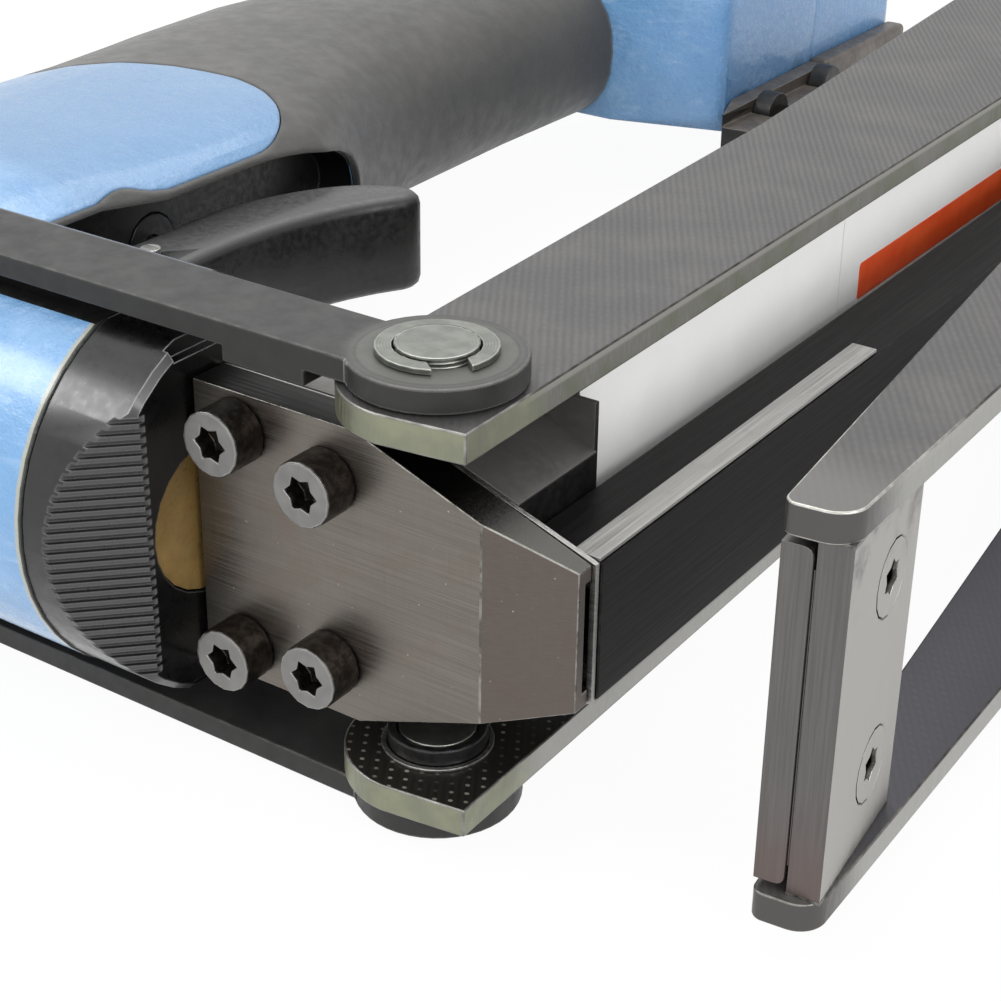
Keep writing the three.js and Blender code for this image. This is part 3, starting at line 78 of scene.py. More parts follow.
class Look:
    """A node material on Object coordinates counted in millimetres."""

    def __init__(self, name, roughness=0.5, metallic=0.0, soft=0.0, **fixed):
        self.material = bpy.data.materials.new(name)
        self.material.use_nodes = True
        self.tree = self.material.node_tree
        self.shader = self.tree.nodes["Principled BSDF"]
        self.shader.inputs["Roughness"].default_value = roughness
        self.shader.inputs["Metallic"].default_value = metallic
        for socket, value in fixed.items():
            self.shader.inputs[socket.replace("_", " ")].default_value = value
        coordinates = self.add("ShaderNodeTexCoord").outputs["Object"]
        scaled = self.add("ShaderNodeVectorMath", operation="SCALE")
        self.link(coordinates, scaled.inputs[0])
        scaled.inputs["Scale"].default_value = 1 / MM
        self.place = scaled.outputs[0]
        self.rounded = self.rim_normal(soft) if soft else None

    def add(self, kind, **settings):
        node = self.tree.nodes.new(kind)
        for name, value in settings.items():
            setattr(node, name, value)
        return node

    def link(self, source, target):
        """Joins two sockets, or sets the target to a plain value."""
        if hasattr(source, "is_output"):
            self.tree.links.new(source, target)
        else:
            target.default_value = source

    def rim_normal(self, radius):
        """The surface's direction, with its sharp rims rounded to a radius."""
        node = self.add("ShaderNodeBevel", samples=6)
        node.inputs["Radius"].default_value = radius * MM
        return node.outputs[0]

    def rims(self, radius):
        """1 along the sharp rims, 0 on open faces."""
        node = self.add("ShaderNodeVectorMath", operation="DOT_PRODUCT")
        self.link(self.rim_normal(radius), node.inputs[0])
        self.link(self.add("ShaderNodeNewGeometry").outputs["Normal"], node.inputs[1])
        return self.range(node.outputs["Value"], 0.93, 0.992, 1, 0)

    def far_from(self, x, y, z):
        """Distance from a spot."""
        node = self.add("ShaderNodeVectorMath", operation="DISTANCE")
        self.link(self.place, node.inputs[0])
        node.inputs[1].default_value = (x, y, z)
        return node.outputs["Value"]

    def far_from_axis(self):
        """Distance from the nose pins' axis."""
        node = self.add("ShaderNodeVectorMath", operation="LENGTH")
        self.link(self.stretched(1, 1, 0), node.inputs[0])
        return node.outputs["Value"]

    def stretched(self, x, y, z):
        """The place with each axis scaled, which draws a noise out along the low ones."""
        node = self.add("ShaderNodeVectorMath", operation="MULTIPLY")
        self.link(self.place, node.inputs[0])
        node.inputs[1].default_value = (x, y, z)
        return node.outputs[0]

    def noise(self, scale, detail=3.0, rough=0.55, where=None, distortion=0.0):
        node = self.add("ShaderNodeTexNoise")
        self.link(where or self.place, node.inputs["Vector"])
        node.inputs["Scale"].default_value = scale
        node.inputs["Detail"].default_value = detail
        node.inputs["Roughness"].default_value = rough
        node.inputs["Distortion"].default_value = distortion
        return node.outputs[0]

    def cells(self, scale):
        node = self.add("ShaderNodeTexVoronoi")
        self.link(self.place, node.inputs["Vector"])
        node.inputs["Scale"].default_value = scale
        return node.outputs["Distance"]

    def axis(self, which):
        node = self.add("ShaderNodeSeparateXYZ")
        self.link(self.place, node.inputs[0])
        return node.outputs[which]

    def normal(self, which):
        geometry = self.add("ShaderNodeNewGeometry")
        node = self.add("ShaderNodeSeparateXYZ")
        self.link(geometry.outputs["Normal"], node.inputs[0])
        return node.outputs[which]

    def maths(self, operation, a, b=0.0):
        node = self.add("ShaderNodeMath", operation=operation)
        self.link(a, node.inputs[0])
        self.link(b, node.inputs[1])
        return node.outputs[0]

    def along(self, x, y, z):
        """Distance along a direction."""
        node = self.add("ShaderNodeVectorMath", operation="DOT_PRODUCT")
        self.link(self.place, node.inputs[0])
        node.inputs[1].default_value = (x, y, z)
        return node.outputs["Value"]

    def waves(self, distance, pitch):
        """Waves of the given pitch, 0 to 1, along a distance."""
        sine = self.maths("SINE", self.maths("MULTIPLY", distance, math.tau / pitch))
        return self.maths("ADD", self.maths("MULTIPLY", sine, 0.5), 0.5)

    def range(self, value, low, high, to_low=0.0, to_high=1.0):
        """Turns low to high into to_low to to_high, eased at both ends."""
        node = self.add("ShaderNodeMapRange", interpolation_type="SMOOTHSTEP")
        self.link(value, node.inputs["Value"])
        ends = {"From Min": low, "From Max": high, "To Min": to_low, "To Max": to_high}
        for name, number in ends.items():
            node.inputs[name].default_value = number
        return node.outputs[0]

    def mix(self, factor, a, b):
        node = self.add("ShaderNodeMix", data_type="RGBA")
        self.link(factor, node.inputs["Factor"])
        self.link(a, node.inputs["A"])
        self.link(b, node.inputs["B"])
        return node.outputs["Result"]

    def both(self, a, b):
        """One mask where two masks meet, or a mask weakened by a number."""
        return self.maths("MULTIPLY", a, b)

    def colour(self, source):
        self.link(source, self.shader.inputs["Base Color"])

    def roughness(self, source):
        self.link(source, self.shader.inputs["Roughness"])

    def bump(self, height, depth, strength=1.0, over=None):
        """Relief whose full height is depth millimetres."""
        node = self.add("ShaderNodeBump")
        node.inputs["Strength"].default_value = strength
        node.inputs["Distance"].default_value = depth * MM
        self.link(height, node.inputs["Height"])
        if over or self.rounded:
            self.link(over or self.rounded, node.inputs["Normal"])
        self.link(node.outputs[0], self.shader.inputs["Normal"])
        return node.outputs[0]


def blue_paint():
    """Gloss stove paint with an orange-peel skin, scuffed pale; its rims are softer on the foot."""
    rim, foot_rim = 1.2, 7
    look = Look("blue_paint", roughness=0.3, soft=rim, Coat_Weight=0.5, Coat_Roughness=0.15)
    softer = look.range(look.axis(1), FOOT_START, FOOT_START + 8, rim * MM, foot_rim * MM)
    look.link(softer, look.rounded.node.inputs["Radius"])
    milk = look.range(look.noise(0.05, 4, 0.6), 0.4, 0.74)
    base = look.mix(milk, linear(100, 144, 187), linear(128, 164, 200))
    streak = look.noise(1.0, 4, 0.6, look.stretched(0.12, 0.5, 0.5), 0.6)
    base = look.mix(look.range(streak, 0.52, 0.8, 0, 0.35), base, linear(176, 197, 218))
    specks = look.noise(1.9, 2, 0.5)
    base = look.mix(look.range(specks, 0.6, 0.8, 0, 0.2), base, linear(72, 108, 152))
    base = look.mix(look.both(look.rims(0.9), 0.2), base, linear(190, 205, 220))
    # The cylinder's mouth is machined bare, with a dark line painted inside it as shade in the gap to the
    # collar
    by_head = look.range(look.axis(1), HEAD_REAR + 0.3, HEAD_REAR + 0.7, 1, 0)
    mouth = look.both(look.range(look.axis(0), CYLINDER_MOUTH - 1.3, CYLINDER_MOUTH - 1), by_head)
    base = look.mix(mouth, base, linear(150, 152, 144))
    gap_shade = look.both(look.range(look.axis(0), CYLINDER_MOUTH - 0.5, CYLINDER_MOUTH - 0.3), by_head)
    base = look.mix(gap_shade, base, linear(40, 43, 38))
    # Painted shade beside the flats that the pull bars run over, where the bars shade the cylinder
    from_middle = look.maths("ABSOLUTE", look.maths("SUBTRACT", look.axis(2), MIDDLE))
    beside = look.both(look.range(from_middle, 25.5, 27.5), look.range(look.axis(1), 10, 15))
    base = look.mix(beside, base, linear(24, 26, 30))
    # Painted shade: the foot is painted a darker, fuller blue
    foot = look.range(look.axis(1), FOOT_START, FOOT_START + 12, 0, 0.6)
    base = look.mix(foot, base, linear(84, 136, 190))
    # Painted shade: the tongue that shows in the grip is painted darker
    tongue = look.both(look.range(look.axis(1), 42, 52), look.range(look.axis(1), 240, 250, 1, 0))
    base = look.mix(look.both(tongue, 0.75), base, linear(90, 128, 166))
    look.colour(base)
    look.roughness(look.range(look.noise(0.5, 3), 0.3, 0.7, 0.24, 0.42))
    coarse = look.bump(look.noise(0.42, 5, 0.62), 0.7, 0.6)
    look.bump(look.noise(2.4, 3, 0.55), 0.12, 0.45, coarse)
    return look.material


def grip_rubber():
    look = Look("grip_rubber", roughness=0.62, soft=1.6, Sheen_Weight=0.2, Sheen_Roughness=0.5)
    smudge = look.range(look.noise(0.05, 4, 0.55), 0.34, 0.72)
    base = look.mix(smudge, linear(46, 45, 44), linear(58, 57, 54))
    dust = look.range(look.noise(1.6, 3, 0.7), 0.58, 0.8, 0, 0.22)
    base = look.mix(dust, base, linear(96, 93, 88))
    base = look.mix(look.both(look.rims(1.0), 0.35), base, linear(92, 90, 86))
    # Painted shade: darker where the rubber faces down or sideways
    base = look.mix(look.range(look.normal(2), -0.3, 0.75, 0.45, 0), base, linear(34, 33, 33))
    look.colour(base)
    look.roughness(look.range(look.noise(0.25, 4), 0.3, 0.7, 0.5, 0.7))
    grain = look.bump(look.cells(1.7), 0.08, 0.45)
    look.bump(look.noise(5.0, 2), 0.04, 0.5, grain)
    return look.material


def black_anodised():
    """The collar: glossy black, with painted grey highlights on its ribs and rims."""
    look = Look("black_anodised", roughness=0.34, metallic=0.1, soft=0.35,
                Coat_Weight=0.3, Coat_Roughness=0.2)
    handling = look.range(look.noise(0.09, 5, 0.6), 0.4, 0.75)
    base = look.mix(handling, linear(9, 9, 10), linear(19, 18, 18))
    base = look.mix(look.both(look.rims(0.45), 0.5), base, linear(92, 92, 93))
    # Painted highlight on the rib facets that are turned down the tool
    ribs = look.both(look.range(look.normal(0), 0.35, 0.6), look.range(look.normal(0), 0.8, 0.95, 1, 0))
    base = look.mix(look.both(ribs, 0.5), base, linear(72, 72, 73))
    # A painted highlight along the rim above the ribs
    bottom = reach("bottom_collar", 1, 0)
    painted_light_mask = look.both(look.range(look.axis(0), bottom - 2.8, bottom - 2.4),
                        look.range(look.axis(2), 59, 61))
    look.colour(look.mix(look.both(painted_light_mask, look.rims(0.3)), base, linear(168, 168, 168)))
    look.roughness(look.range(look.noise(0.6, 4), 0.3, 0.7, 0.26, 0.36))
    look.bump(look.noise(1.4, 4, 0.6), 0.008, 0.3)
    return look.material


def bare_edge(name, colour, tint, roughness=0.32):
    """Metal laid bare along a worn rim, in two shades."""
    look = Look(name, roughness=roughness, metallic=1.0)
    patch = look.range(look.noise(0.35, 4, 0.6), 0.35, 0.7)
    look.colour(look.mix(patch, colour, tint))
    look.roughness(look.range(look.noise(1.5, 3), 0.3, 0.7, roughness - 0.08, roughness + 0.14))
    look.bump(look.noise(2.4, 4, 0.6), 0.03, 0.5)
    return look.material


def painted_bar():
    """Satin black flat bar: grey bloom, chips along the rims, rubbed bare round the pin; its sides are
    painted dark as shade and its rims round the eye carry painted glints.
    """
    look = Look("painted_bar", roughness=0.5, metallic=0.2)
    dust = look.range(look.noise(0.12, 4, 0.58), 0.36, 0.74)
    base = look.mix(dust, linear(38, 38, 38), linear(49, 49, 48))
    spots = look.range(look.noise(2.8, 2, 0.6), 0.7, 0.78, 0, 0.6)
    base = look.mix(spots, base, linear(118, 115, 110))
    rub = look.noise(1.0, 5, 0.65, look.stretched(0.16, 0.9, 0.9))
    base = look.mix(look.range(rub, 0.62, 0.82, 0, 0.35), base, linear(84, 82, 79))
    eye = look.range(look.far_from_axis(), 10.5, 14, 0.55, 0)
    base = look.mix(eye, base, linear(104, 104, 99))
    chipped = look.range(look.noise(0.35, 4, 0.6), 0.36, 0.66, 0.1, 0.75)
    base = look.mix(look.both(look.rims(0.6), chipped), base, linear(138, 136, 131))
    # Painted shade: the bar's sides are painted dark
    side = look.range(look.maths("ABSOLUTE", look.normal(2)), 0.3, 0.7, 0.85, 0)
    base = look.mix(side, base, linear(30, 30, 29))
    glint = look.both(look.rims(0.45), look.range(look.far_from_axis(), 13.5, 16, 0.8, 0.15))
    base = look.mix(glint, base, linear(176, 174, 168))
    from_ring = look.maths("ABSOLUTE", look.maths("SUBTRACT", look.far_from_axis(), 11.4))
    ring = look.range(from_ring, 0.1, 0.35, 0.5, 0)
    base = look.mix(ring, base, linear(48, 48, 46))
    look.colour(base)
    look.roughness(look.range(look.noise(0.3, 4), 0.3, 0.7, 0.38, 0.56))
    look.bump(look.noise(3.4, 4, 0.6), 0.05, 0.5)
    return look.material


def black_oxide(name="black_oxide", dark=(20, 20, 21), light=(38, 37, 35), worn=(86, 84, 80)):
    """Blackened steel in patches of two shades, worn paler along its rims."""
    look = Look(name, roughness=0.4, metallic=0.3, soft=0.3)
    patch = look.range(look.noise(0.14, 5, 0.62), 0.38, 0.72)
    base = look.mix(patch, linear(*dark), linear(*light))
    rubbed = look.both(look.rims(0.5), look.range(look.noise(0.6, 4), 0.4, 0.65, 0, 0.8))
    look.colour(look.mix(rubbed, base, linear(*worn)))
    look.roughness(look.range(look.noise(0.6, 4), 0.3, 0.7, 0.3, 0.5))
    look.bump(look.noise(3.0, 4, 0.6), 0.04, 0.5)
    return look.material


def nose_steel():
    """Ground plate with fine lines both ways and faint warm stains; its tip facet and its flanks behind the
    bevel are painted darker as shade.
    """
    look = Look("nose_steel", roughness=0.38, metallic=1.0)
    lines = look.noise(1.0, 4, 0.65, look.stretched(0.05, 2.0, 7.0))
    across = look.noise(1.0, 4, 0.65, look.stretched(6.0, 2.0, 0.12))
    base = look.mix(look.range(lines, 0.3, 0.7), linear(112, 107, 101), linear(132, 127, 120))
    base = look.mix(look.range(across, 0.5, 0.8, 0, 0.35), base, linear(96, 92, 87))
    stain = look.range(look.noise(0.075, 4, 0.6, distortion=0.7), 0.48, 0.72, 0, 0.3)
    base = look.mix(stain, base, linear(118, 100, 90))
    # Painted shade: the tip facet, turned down the tool, is painted darker
    tip = look.range(look.normal(0), 0.05, 0.14)
    base = look.mix(look.both(tip, 0.75), base, linear(98, 88, 84))
    spot = look.range(look.noise(1.2, 2, 0.5), 0.74, 0.78, 0, 0.7)
    base = look.mix(spot, base, linear(190, 188, 182))
    # Painted shade on the flanks, darkest up the tool
    flank = look.range(look.maths("ABSOLUTE", look.normal(2)), 0.25, 0.45)
    shadowed = look.range(look.axis(0), 4, 16)
    side = look.mix(shadowed, linear(34, 33, 32), linear(98, 96, 93))
    base = look.mix(flank, base, side)
    look.colour(base)
    look.roughness(look.range(lines, 0.3, 0.7, 0.3, 0.46))
    ground = look.bump(lines, 0.018, 0.6)
    look.bump(across, 0.012, 0.5, ground)
    return look.material


def block_flank():
    """The block behind the nose plate: smooth grey near the plate, painted darker towards the rear and black
    on its faces turned down the tool, as shade.
    """
    look = Look("block_flank", roughness=0.42, metallic=0.6, soft=0.2)
    # Painted shade: darker towards the rear
    far = look.range(look.along(0.35, 0.9, 0), 16, 34)
    top = look.mix(far, linear(112, 110, 107), linear(72, 70, 68))
    # Painted shade: black on the faces turned down the tool
    facing = look.range(look.normal(0), 0.45, 0.7, 1, 0)
    base = look.mix(facing, linear(24, 23, 23), top)
    patch = look.range(look.noise(0.2, 4), 0.35, 0.7, 0, 0.2)
    look.colour(look.mix(patch, base, linear(64, 62, 60)))
    look.roughness(look.range(look.noise(0.8, 4), 0.3, 0.7, 0.36, 0.52))
    look.bump(look.noise(2.2, 4, 0.6), 0.03, 0.4)
    return look.material


def hatched_steel():
    """Blackened plate with a fine rolled lattice on its broad faces; low by the nose it is painted dark as
    shade, with painted glints on the lattice.
    """
    look = Look("hatched_steel", roughness=0.46, metallic=0.7)
    down, across = (0.848, 0.528, 0), (0.44, -0.9, 0)
    drift = look.both(look.noise(0.3, 2), 0.5)
    lines = look.waves(look.maths("ADD", look.along(*down), drift), 1.15)
    rows = look.waves(look.along(*down), 2.3)
    ranks = look.waves(look.along(*across), 2.05)
    dots = look.range(look.both(rows, ranks), 0.45, 0.95)
    patch = look.range(look.noise(0.07, 4, 0.58), 0.36, 0.72)
    base = look.mix(patch, linear(85, 84, 84), linear(95, 94, 93))
    fade = look.range(look.noise(0.2, 3), 0.3, 0.7, 0.12, 0.42)
    base = look.mix(look.both(look.range(lines, 0.1, 0.9), fade), base, linear(74, 73, 73))
    base = look.mix(look.range(dots, 0, 1, 0, 0.1), base, linear(120, 119, 118))
    streaks = look.noise(1.0, 4, 0.7, look.stretched(1.9, 1.9, 0.1))
    base = look.mix(look.range(streaks, 0.6, 0.8, 0, 0.15), base, linear(130, 128, 127))
    # The lower plate is smoother and bluer inside, and both are ground smooth at the arms' ends
    lower = look.range(look.axis(2), 24, 32, 1, 0)
    base = look.mix(look.both(lower, 0.85), base, linear(84, 84, 90))
    ground = look.both(look.range(look.axis(0), 34, 42), look.range(look.axis(1), 2, 14, 1, 0))
    base = look.mix(ground, base, linear(106, 104, 102))
    # Painted shade low by the nose, with painted glints on the lattice dots
    by_nose = look.both(lower, look.range(look.along(0.3, 1, 0), 10, 30, 1, 0))
    by_nose = look.both(by_nose, look.range(look.axis(0), 20, 28, 1, 0))
    uneven = look.range(look.noise(0.16, 3), 0.4, 0.62, 0.1, 1)
    glints = look.mix(look.both(look.range(dots, 0.6, 0.95), uneven),
                      linear(42, 40, 36), linear(168, 166, 154))
    look.colour(look.mix(by_nose, base, glints))
    look.roughness(look.range(lines, 0.1, 0.9, 0.42, 0.52))
    look.bump(look.maths("ADD", dots, look.both(lines, 0.4)), 0.03, 0.35)
    return look.material


def cut_edge():
    """Sawn plate edge: grey with a painted highlight along its upper border, green passivation at the round
    nose.
    """
    look = Look("cut_edge", roughness=0.42, metallic=0.9)
    lines = look.noise(1.0, 4, 0.65, look.stretched(3.0, 3.0, 0.4))
    grey = look.mix(look.range(lines, 0.35, 0.7), linear(112, 111, 106), linear(134, 133, 128))
    olive = look.mix(look.range(look.noise(0.12, 4), 0.4, 0.6), grey, linear(112, 115, 102))
    silver = look.range(look.axis(2), 20, 30, 0.8, 0)
    silver = look.maths("MAXIMUM", silver, look.both(look.range(look.axis(0), 26, 36), 0.7))
    olive = look.mix(silver, olive, linear(166, 165, 162))
    top = reach("jaw_plate_left", 1, 2)
    # Painted highlight along the upper border
    border = look.range(look.axis(2), top - 1.5, top - 0.9, 0, 0.75)
    olive = look.mix(border, olive, linear(160, 158, 153))
    passivated = look.mix(look.range(look.noise(0.16, 3), 0.35, 0.7),
                          linear(130, 132, 116), linear(144, 146, 124))
    at_nose = look.both(look.range(look.axis(1), -2.0, 10.0, 1, 0),
                        look.range(look.axis(0), 22, 26, 1, 0))
    arm_end = look.both(look.range(look.axis(1), 0, 14, 1, 0), look.range(look.axis(0), 28, 34))
    olive = look.mix(arm_end, olive, linear(90, 88, 87))
    look.colour(look.mix(at_nose, olive, passivated))
    look.roughness(look.range(lines, 0.3, 0.7, 0.34, 0.5))
    look.bump(lines, 0.03, 0.5)
    return look.material


def plate_rim():
    """The plates' rounded rims: a thin dark line on the runs, with painted highlights at the jaw arms' ends
    and by the nose.
    """
    look = Look("plate_rim", roughness=0.36, metallic=0.9)
    patch = look.range(look.noise(0.3, 4, 0.6), 0.35, 0.7)
    dark = look.mix(patch, linear(58, 57, 55), linear(92, 90, 86))
    bright = look.mix(patch, linear(150, 148, 143), linear(196, 194, 188))
    # Painted highlights at the arms' ends and by the nose
    arm_end = look.both(look.range(look.axis(0), 30, 40), look.range(look.axis(1), 16, 40, 1, 0))
    nose = look.both(look.range(look.axis(1), -3, 9, 0.5, 0), look.range(look.axis(0), 22, 26, 1, 0))
    arm_end = look.both(arm_end, look.range(look.axis(2), 30, 40, 0.25, 1))
    look.colour(look.mix(look.maths("MAXIMUM", arm_end, nose), dark, bright))
    look.roughness(look.range(look.noise(1.5, 3), 0.3, 0.7, 0.3, 0.46))
    look.bump(look.noise(2.4, 4, 0.6), 0.03, 0.5)
    return look.material


def machined(name, colour, tint, roughness, stretch):
    """Bare metal with fine tool lines, drawn out along the axis whose stretch is low."""
    look = Look(name, roughness=roughness, metallic=1.0)
    lines = look.noise(1.0, 4, 0.65, look.stretched(*stretch))
    base = look.mix(look.range(lines, 0.32, 0.7), linear(*colour), linear(*tint))
    patch = look.range(look.noise(0.16, 5, 0.62), 0.5, 0.8, 0, 0.3)
    base = look.mix(patch, base, linear(*[max(0, c - 30) for c in colour]))
    look.colour(base)
    look.roughness(look.range(lines, 0.3, 0.7, roughness - 0.07, roughness + 0.12))
    look.bump(lines, 0.025, 0.6)
    return look.material


def turned_steel():
    """Pins and clips: fine rings round the pins' axis, a little stained."""
    look = Look("turned_steel", roughness=0.36, metallic=0.95)
    rings = look.waves(look.far_from_axis(), 0.42)
    haze = look.range(look.noise(0.25, 4, 0.55), 0.35, 0.7)
    base = look.mix(haze, linear(112, 114, 109), linear(138, 140, 133))
    base = look.mix(look.range(rings, 0.2, 1, 0, 0.25), base, linear(166, 167, 160))
    base = look.mix(look.both(look.rims(0.4), 0.7), base, linear(196, 196, 190))
    look.colour(base)
    look.roughness(look.range(rings, 0, 1, 0.3, 0.42))
    look.bump(rings, 0.012, 0.6)
    return look.material


def screw_steel():
    """Cap screw: grey face with a bright rim, brown oiled sides, and its recess painted dark as shade."""
    look = Look("screw_steel", roughness=0.42, metallic=0.95)
    face = look.mix(look.range(look.noise(0.3, 3), 0.35, 0.7), linear(126, 125, 123), linear(138, 137, 135))
    side = look.mix(look.range(look.noise(0.8, 4), 0.35, 0.7), linear(44, 40, 36), linear(74, 68, 62))
    # Painted shade: everything below the top face, the recess too, takes the dark side colour
    outer = look.range(look.axis(1), SCREW_FACE + 0.25, SCREW_FACE + 0.7, 1, 0)
    facing = look.range(look.maths("ABSOLUTE", look.normal(1)), 0.5, 0.8)
    base = look.mix(look.both(outer, facing), side, face)
    look.colour(look.mix(look.both(look.rims(0.35), look.both(outer, 0.6)),
                         base, linear(176, 175, 172)))
    look.roughness(look.range(look.noise(1.2, 3), 0.3, 0.7, 0.36, 0.5))
    look.bump(look.noise(3.0, 4, 0.6), 0.05, 0.6)
    return look.material


def amber():
    look = Look("amber_plastic", roughness=0.3, Subsurface_Weight=0.3, Subsurface_Scale=0.004)
    base = look.mix(look.range(look.noise(0.12, 4), 0.35, 0.7), linear(104, 83, 45), linear(124, 101, 60))
    look.colour(base)
    look.roughness(look.range(look.noise(0.8, 3), 0.3, 0.7, 0.24, 0.4))
    look.bump(look.noise(1.5, 3), 0.05, 0.4)
    return look.material


def moulded_black(name="black_plastic", dark=(20, 20, 20), light=(32, 32, 31), top=(66, 66, 67), dimple=None):
    """Moulded nylon: near black, painted a lighter grey where it faces up, as light from above."""
    look = Look(name, roughness=0.36, soft=0.6)
    patch = look.range(look.noise(0.1, 5, 0.62), 0.36, 0.72)
    base = look.mix(patch, linear(*dark), linear(*light))
    # Painted light: lighter grey where it faces up
    base = look.mix(look.range(look.normal(2), 0.5, 0.9), base, linear(*top))
    if dimple:
        # Painted shade: a black spot for a dimple's hollow
        dimple_shade = look.range(look.far_from(*dimple), 1.2, 2.6, 1, 0)
        base = look.mix(dimple_shade, base, linear(8, 8, 8))
    look.colour(base)
    look.roughness(look.range(look.noise(0.7, 4), 0.3, 0.7, 0.3, 0.46))
    look.bump(look.cells(3.2), 0.03, 0.5)
    return look.material


def magazine_black():
    look = Look("magazine_black", roughness=0.5, soft=0.3, Specular_IOR_Level=0.12)
    lines = look.noise(1.0, 4, 0.65, look.stretched(3.0, 0.04, 3.0))
    base = look.mix(look.range(lines, 0.35, 0.75), linear(11, 11, 11), linear(19, 18, 18))
    rubbed = look.both(look.rims(0.5), look.range(look.noise(0.5, 4), 0.4, 0.6, 0.1, 0.5))
    base = look.mix(rubbed, base, linear(70, 69, 67))
    look.colour(base)
    look.roughness(look.range(lines, 0.3, 0.7, 0.4, 0.55))
    look.bump(lines, 0.015, 0.5)
    return look.material


def anvil_steel():
    """Ground crossbar, brown where the heat of the weld ran along its lower half."""
    look = Look("anvil_steel", roughness=0.42, metallic=0.95)
    lines = look.noise(1.0, 4, 0.65, look.stretched(3.0, 4.0, 0.06))
    base = look.mix(look.range(lines, 0.32, 0.7), linear(100, 98, 97), linear(111, 109, 108))
    low = look.range(look.axis(2), 12, 32, 0.4, 0)
    warm = look.both(low, look.range(look.noise(0.05, 2), 0.3, 0.6, 0.4, 1))
    base = look.mix(warm, base, linear(114, 90, 86))
    look.colour(base)
    look.roughness(look.range(lines, 0.3, 0.7, 0.4, 0.48))
    look.bump(lines, 0.01, 0.4)
    return look.material


def clinch_steel():
    """The crossbar's bright ground face, stained dark by the upper weld, painted black as shade in the
    screws' drives.
    """
    look = Look("clinch_steel", roughness=0.42, metallic=0.95)
    lines = look.noise(1.0, 4, 0.65, look.stretched(4.0, 4.0, 0.2))
    base = look.mix(look.range(lines, 0.32, 0.7), linear(158, 156, 152), linear(172, 170, 165))
    stain = look.both(look.range(look.axis(2), 52, 62),
                      look.range(look.noise(0.16, 5, 0.6), 0.45, 0.7, 0, 0.7))
    base = look.mix(stain, base, linear(92, 90, 92))
    # Painted shade: black in the screws' drives
    drive_shade = look.range(look.along(*ANVIL_OUT), ANVIL_FACE - 0.9, ANVIL_FACE - 0.45, 1, 0)
    look.colour(look.mix(drive_shade, base, linear(18, 18, 18)))
    look.roughness(look.range(lines, 0.3, 0.7, 0.36, 0.52))
    look.bump(lines, 0.02, 0.5)
    return look.material


def weld_steel():
    """A rippled bead of grey weld."""
    look = Look("weld_steel", roughness=0.4, metallic=0.95)
    ripple = look.noise(1.4, 4, 0.6)
    look.colour(look.mix(look.range(ripple, 0.35, 0.7), linear(92, 90, 88), linear(134, 132, 128)))
    look.roughness(look.range(ripple, 0.3, 0.7, 0.32, 0.5))
    look.bump(ripple, 0.12, 0.5)
    return look.material


def label_sheet():
    look = Look("label_sheet", roughness=0.38)
    base = look.mix(look.range(look.noise(0.09, 5), 0.35, 0.75), linear(244, 244, 242), linear(250, 250, 249))
    # Painted shade: darker towards the label's upper edge
    painted_light_mask = look.range(look.axis(2), 48, 62, 0, 0.6)
    base = look.mix(painted_light_mask, base, linear(214, 214, 212))
    soiled = look.range(look.noise(0.5, 4, 0.65), 0.64, 0.86, 0, 0.25)
    look.colour(look.mix(soiled, base, linear(214, 213, 208)))
    look.roughness(look.range(look.noise(0.8, 3), 0.3, 0.7, 0.32, 0.48))
    look.bump(look.noise(0.6, 4), 0.06, 0.3)
    return look.material


def label_band():
    look = Look("label_band", roughness=0.36)
    base = look.mix(look.range(look.noise(0.2, 4), 0.35, 0.7), linear(238, 84, 38), linear(246, 100, 50))
    look.colour(base)
    look.roughness(look.range(look.noise(0.8, 3), 0.3, 0.7, 0.3, 0.44))
    look.bump(look.noise(0.6, 4), 0.04, 0.35)
    return look.material


# Where the screw heads and the anvil's outer face lie
SCREW_FACE = reach("front_screw_1", 0, 1)
outer = max(nodes["anvil_bar"].data.polygons, key=lambda face: face.normal.x * face.area).normal
ANVIL_OUT = tuple(outer)
ANVIL_FACE = max(point.co.dot(outer) for point in nodes["anvil_bar"].data.vertices) / MM

BLUE = blue_paint()
RUBBER = grip_rubber()
ANODISED = black_anodised()
BAR = painted_bar()
OXIDE = black_oxide()
BRACKET = black_oxide("bracket_brown", (82, 76, 70), (104, 97, 90), (124, 119, 112))
NOSE = nose_steel()
FLANK = block_flank()
HATCHED = hatched_steel()
CUT = cut_edge()
RIM = plate_rim()
SCREW = screw_steel()
AMBER = amber()
MOULDED = moulded_black()
# A darker copy of the moulded black, as painted shade in the trigger's slot and under the pull bars
SLOT_SHADE = moulded_black("slot_shade_black", (9, 9, 9), (17, 17, 17), (14, 14, 14))
TRIGGER = moulded_black("trigger_black", dimple=(-89.1, 98.6, MIDDLE))
MAGAZINE = magazine_black()
LABEL = label_sheet()
BAND = label_band()
EDGE = bare_edge("bright_edge", linear(150, 147, 142), linear(96, 93, 88))
DARK_EDGE = bare_edge("worn_edge", linear(70, 68, 66), linear(104, 101, 96), 0.42)
PALE = machined("pale_steel", (150, 149, 147), (184, 183, 180), 0.36, (0.08, 3.0, 3.0))
STRIP = machined("strip_steel", (150, 149, 147), (178, 177, 174), 0.45, (5.0, 0.05, 5.0))
ANVIL = anvil_steel()
CLINCH = clinch_steel()
WELD = weld_steel()
PIN = turned_steel()
ZINC = machined("zinc_wire", (132, 128, 118), (166, 162, 150), 0.34, (2.0, 0.4, 2.0))
WEB = black_oxide("web_black", (34, 33, 33), (52, 50, 49), (74, 72, 70))


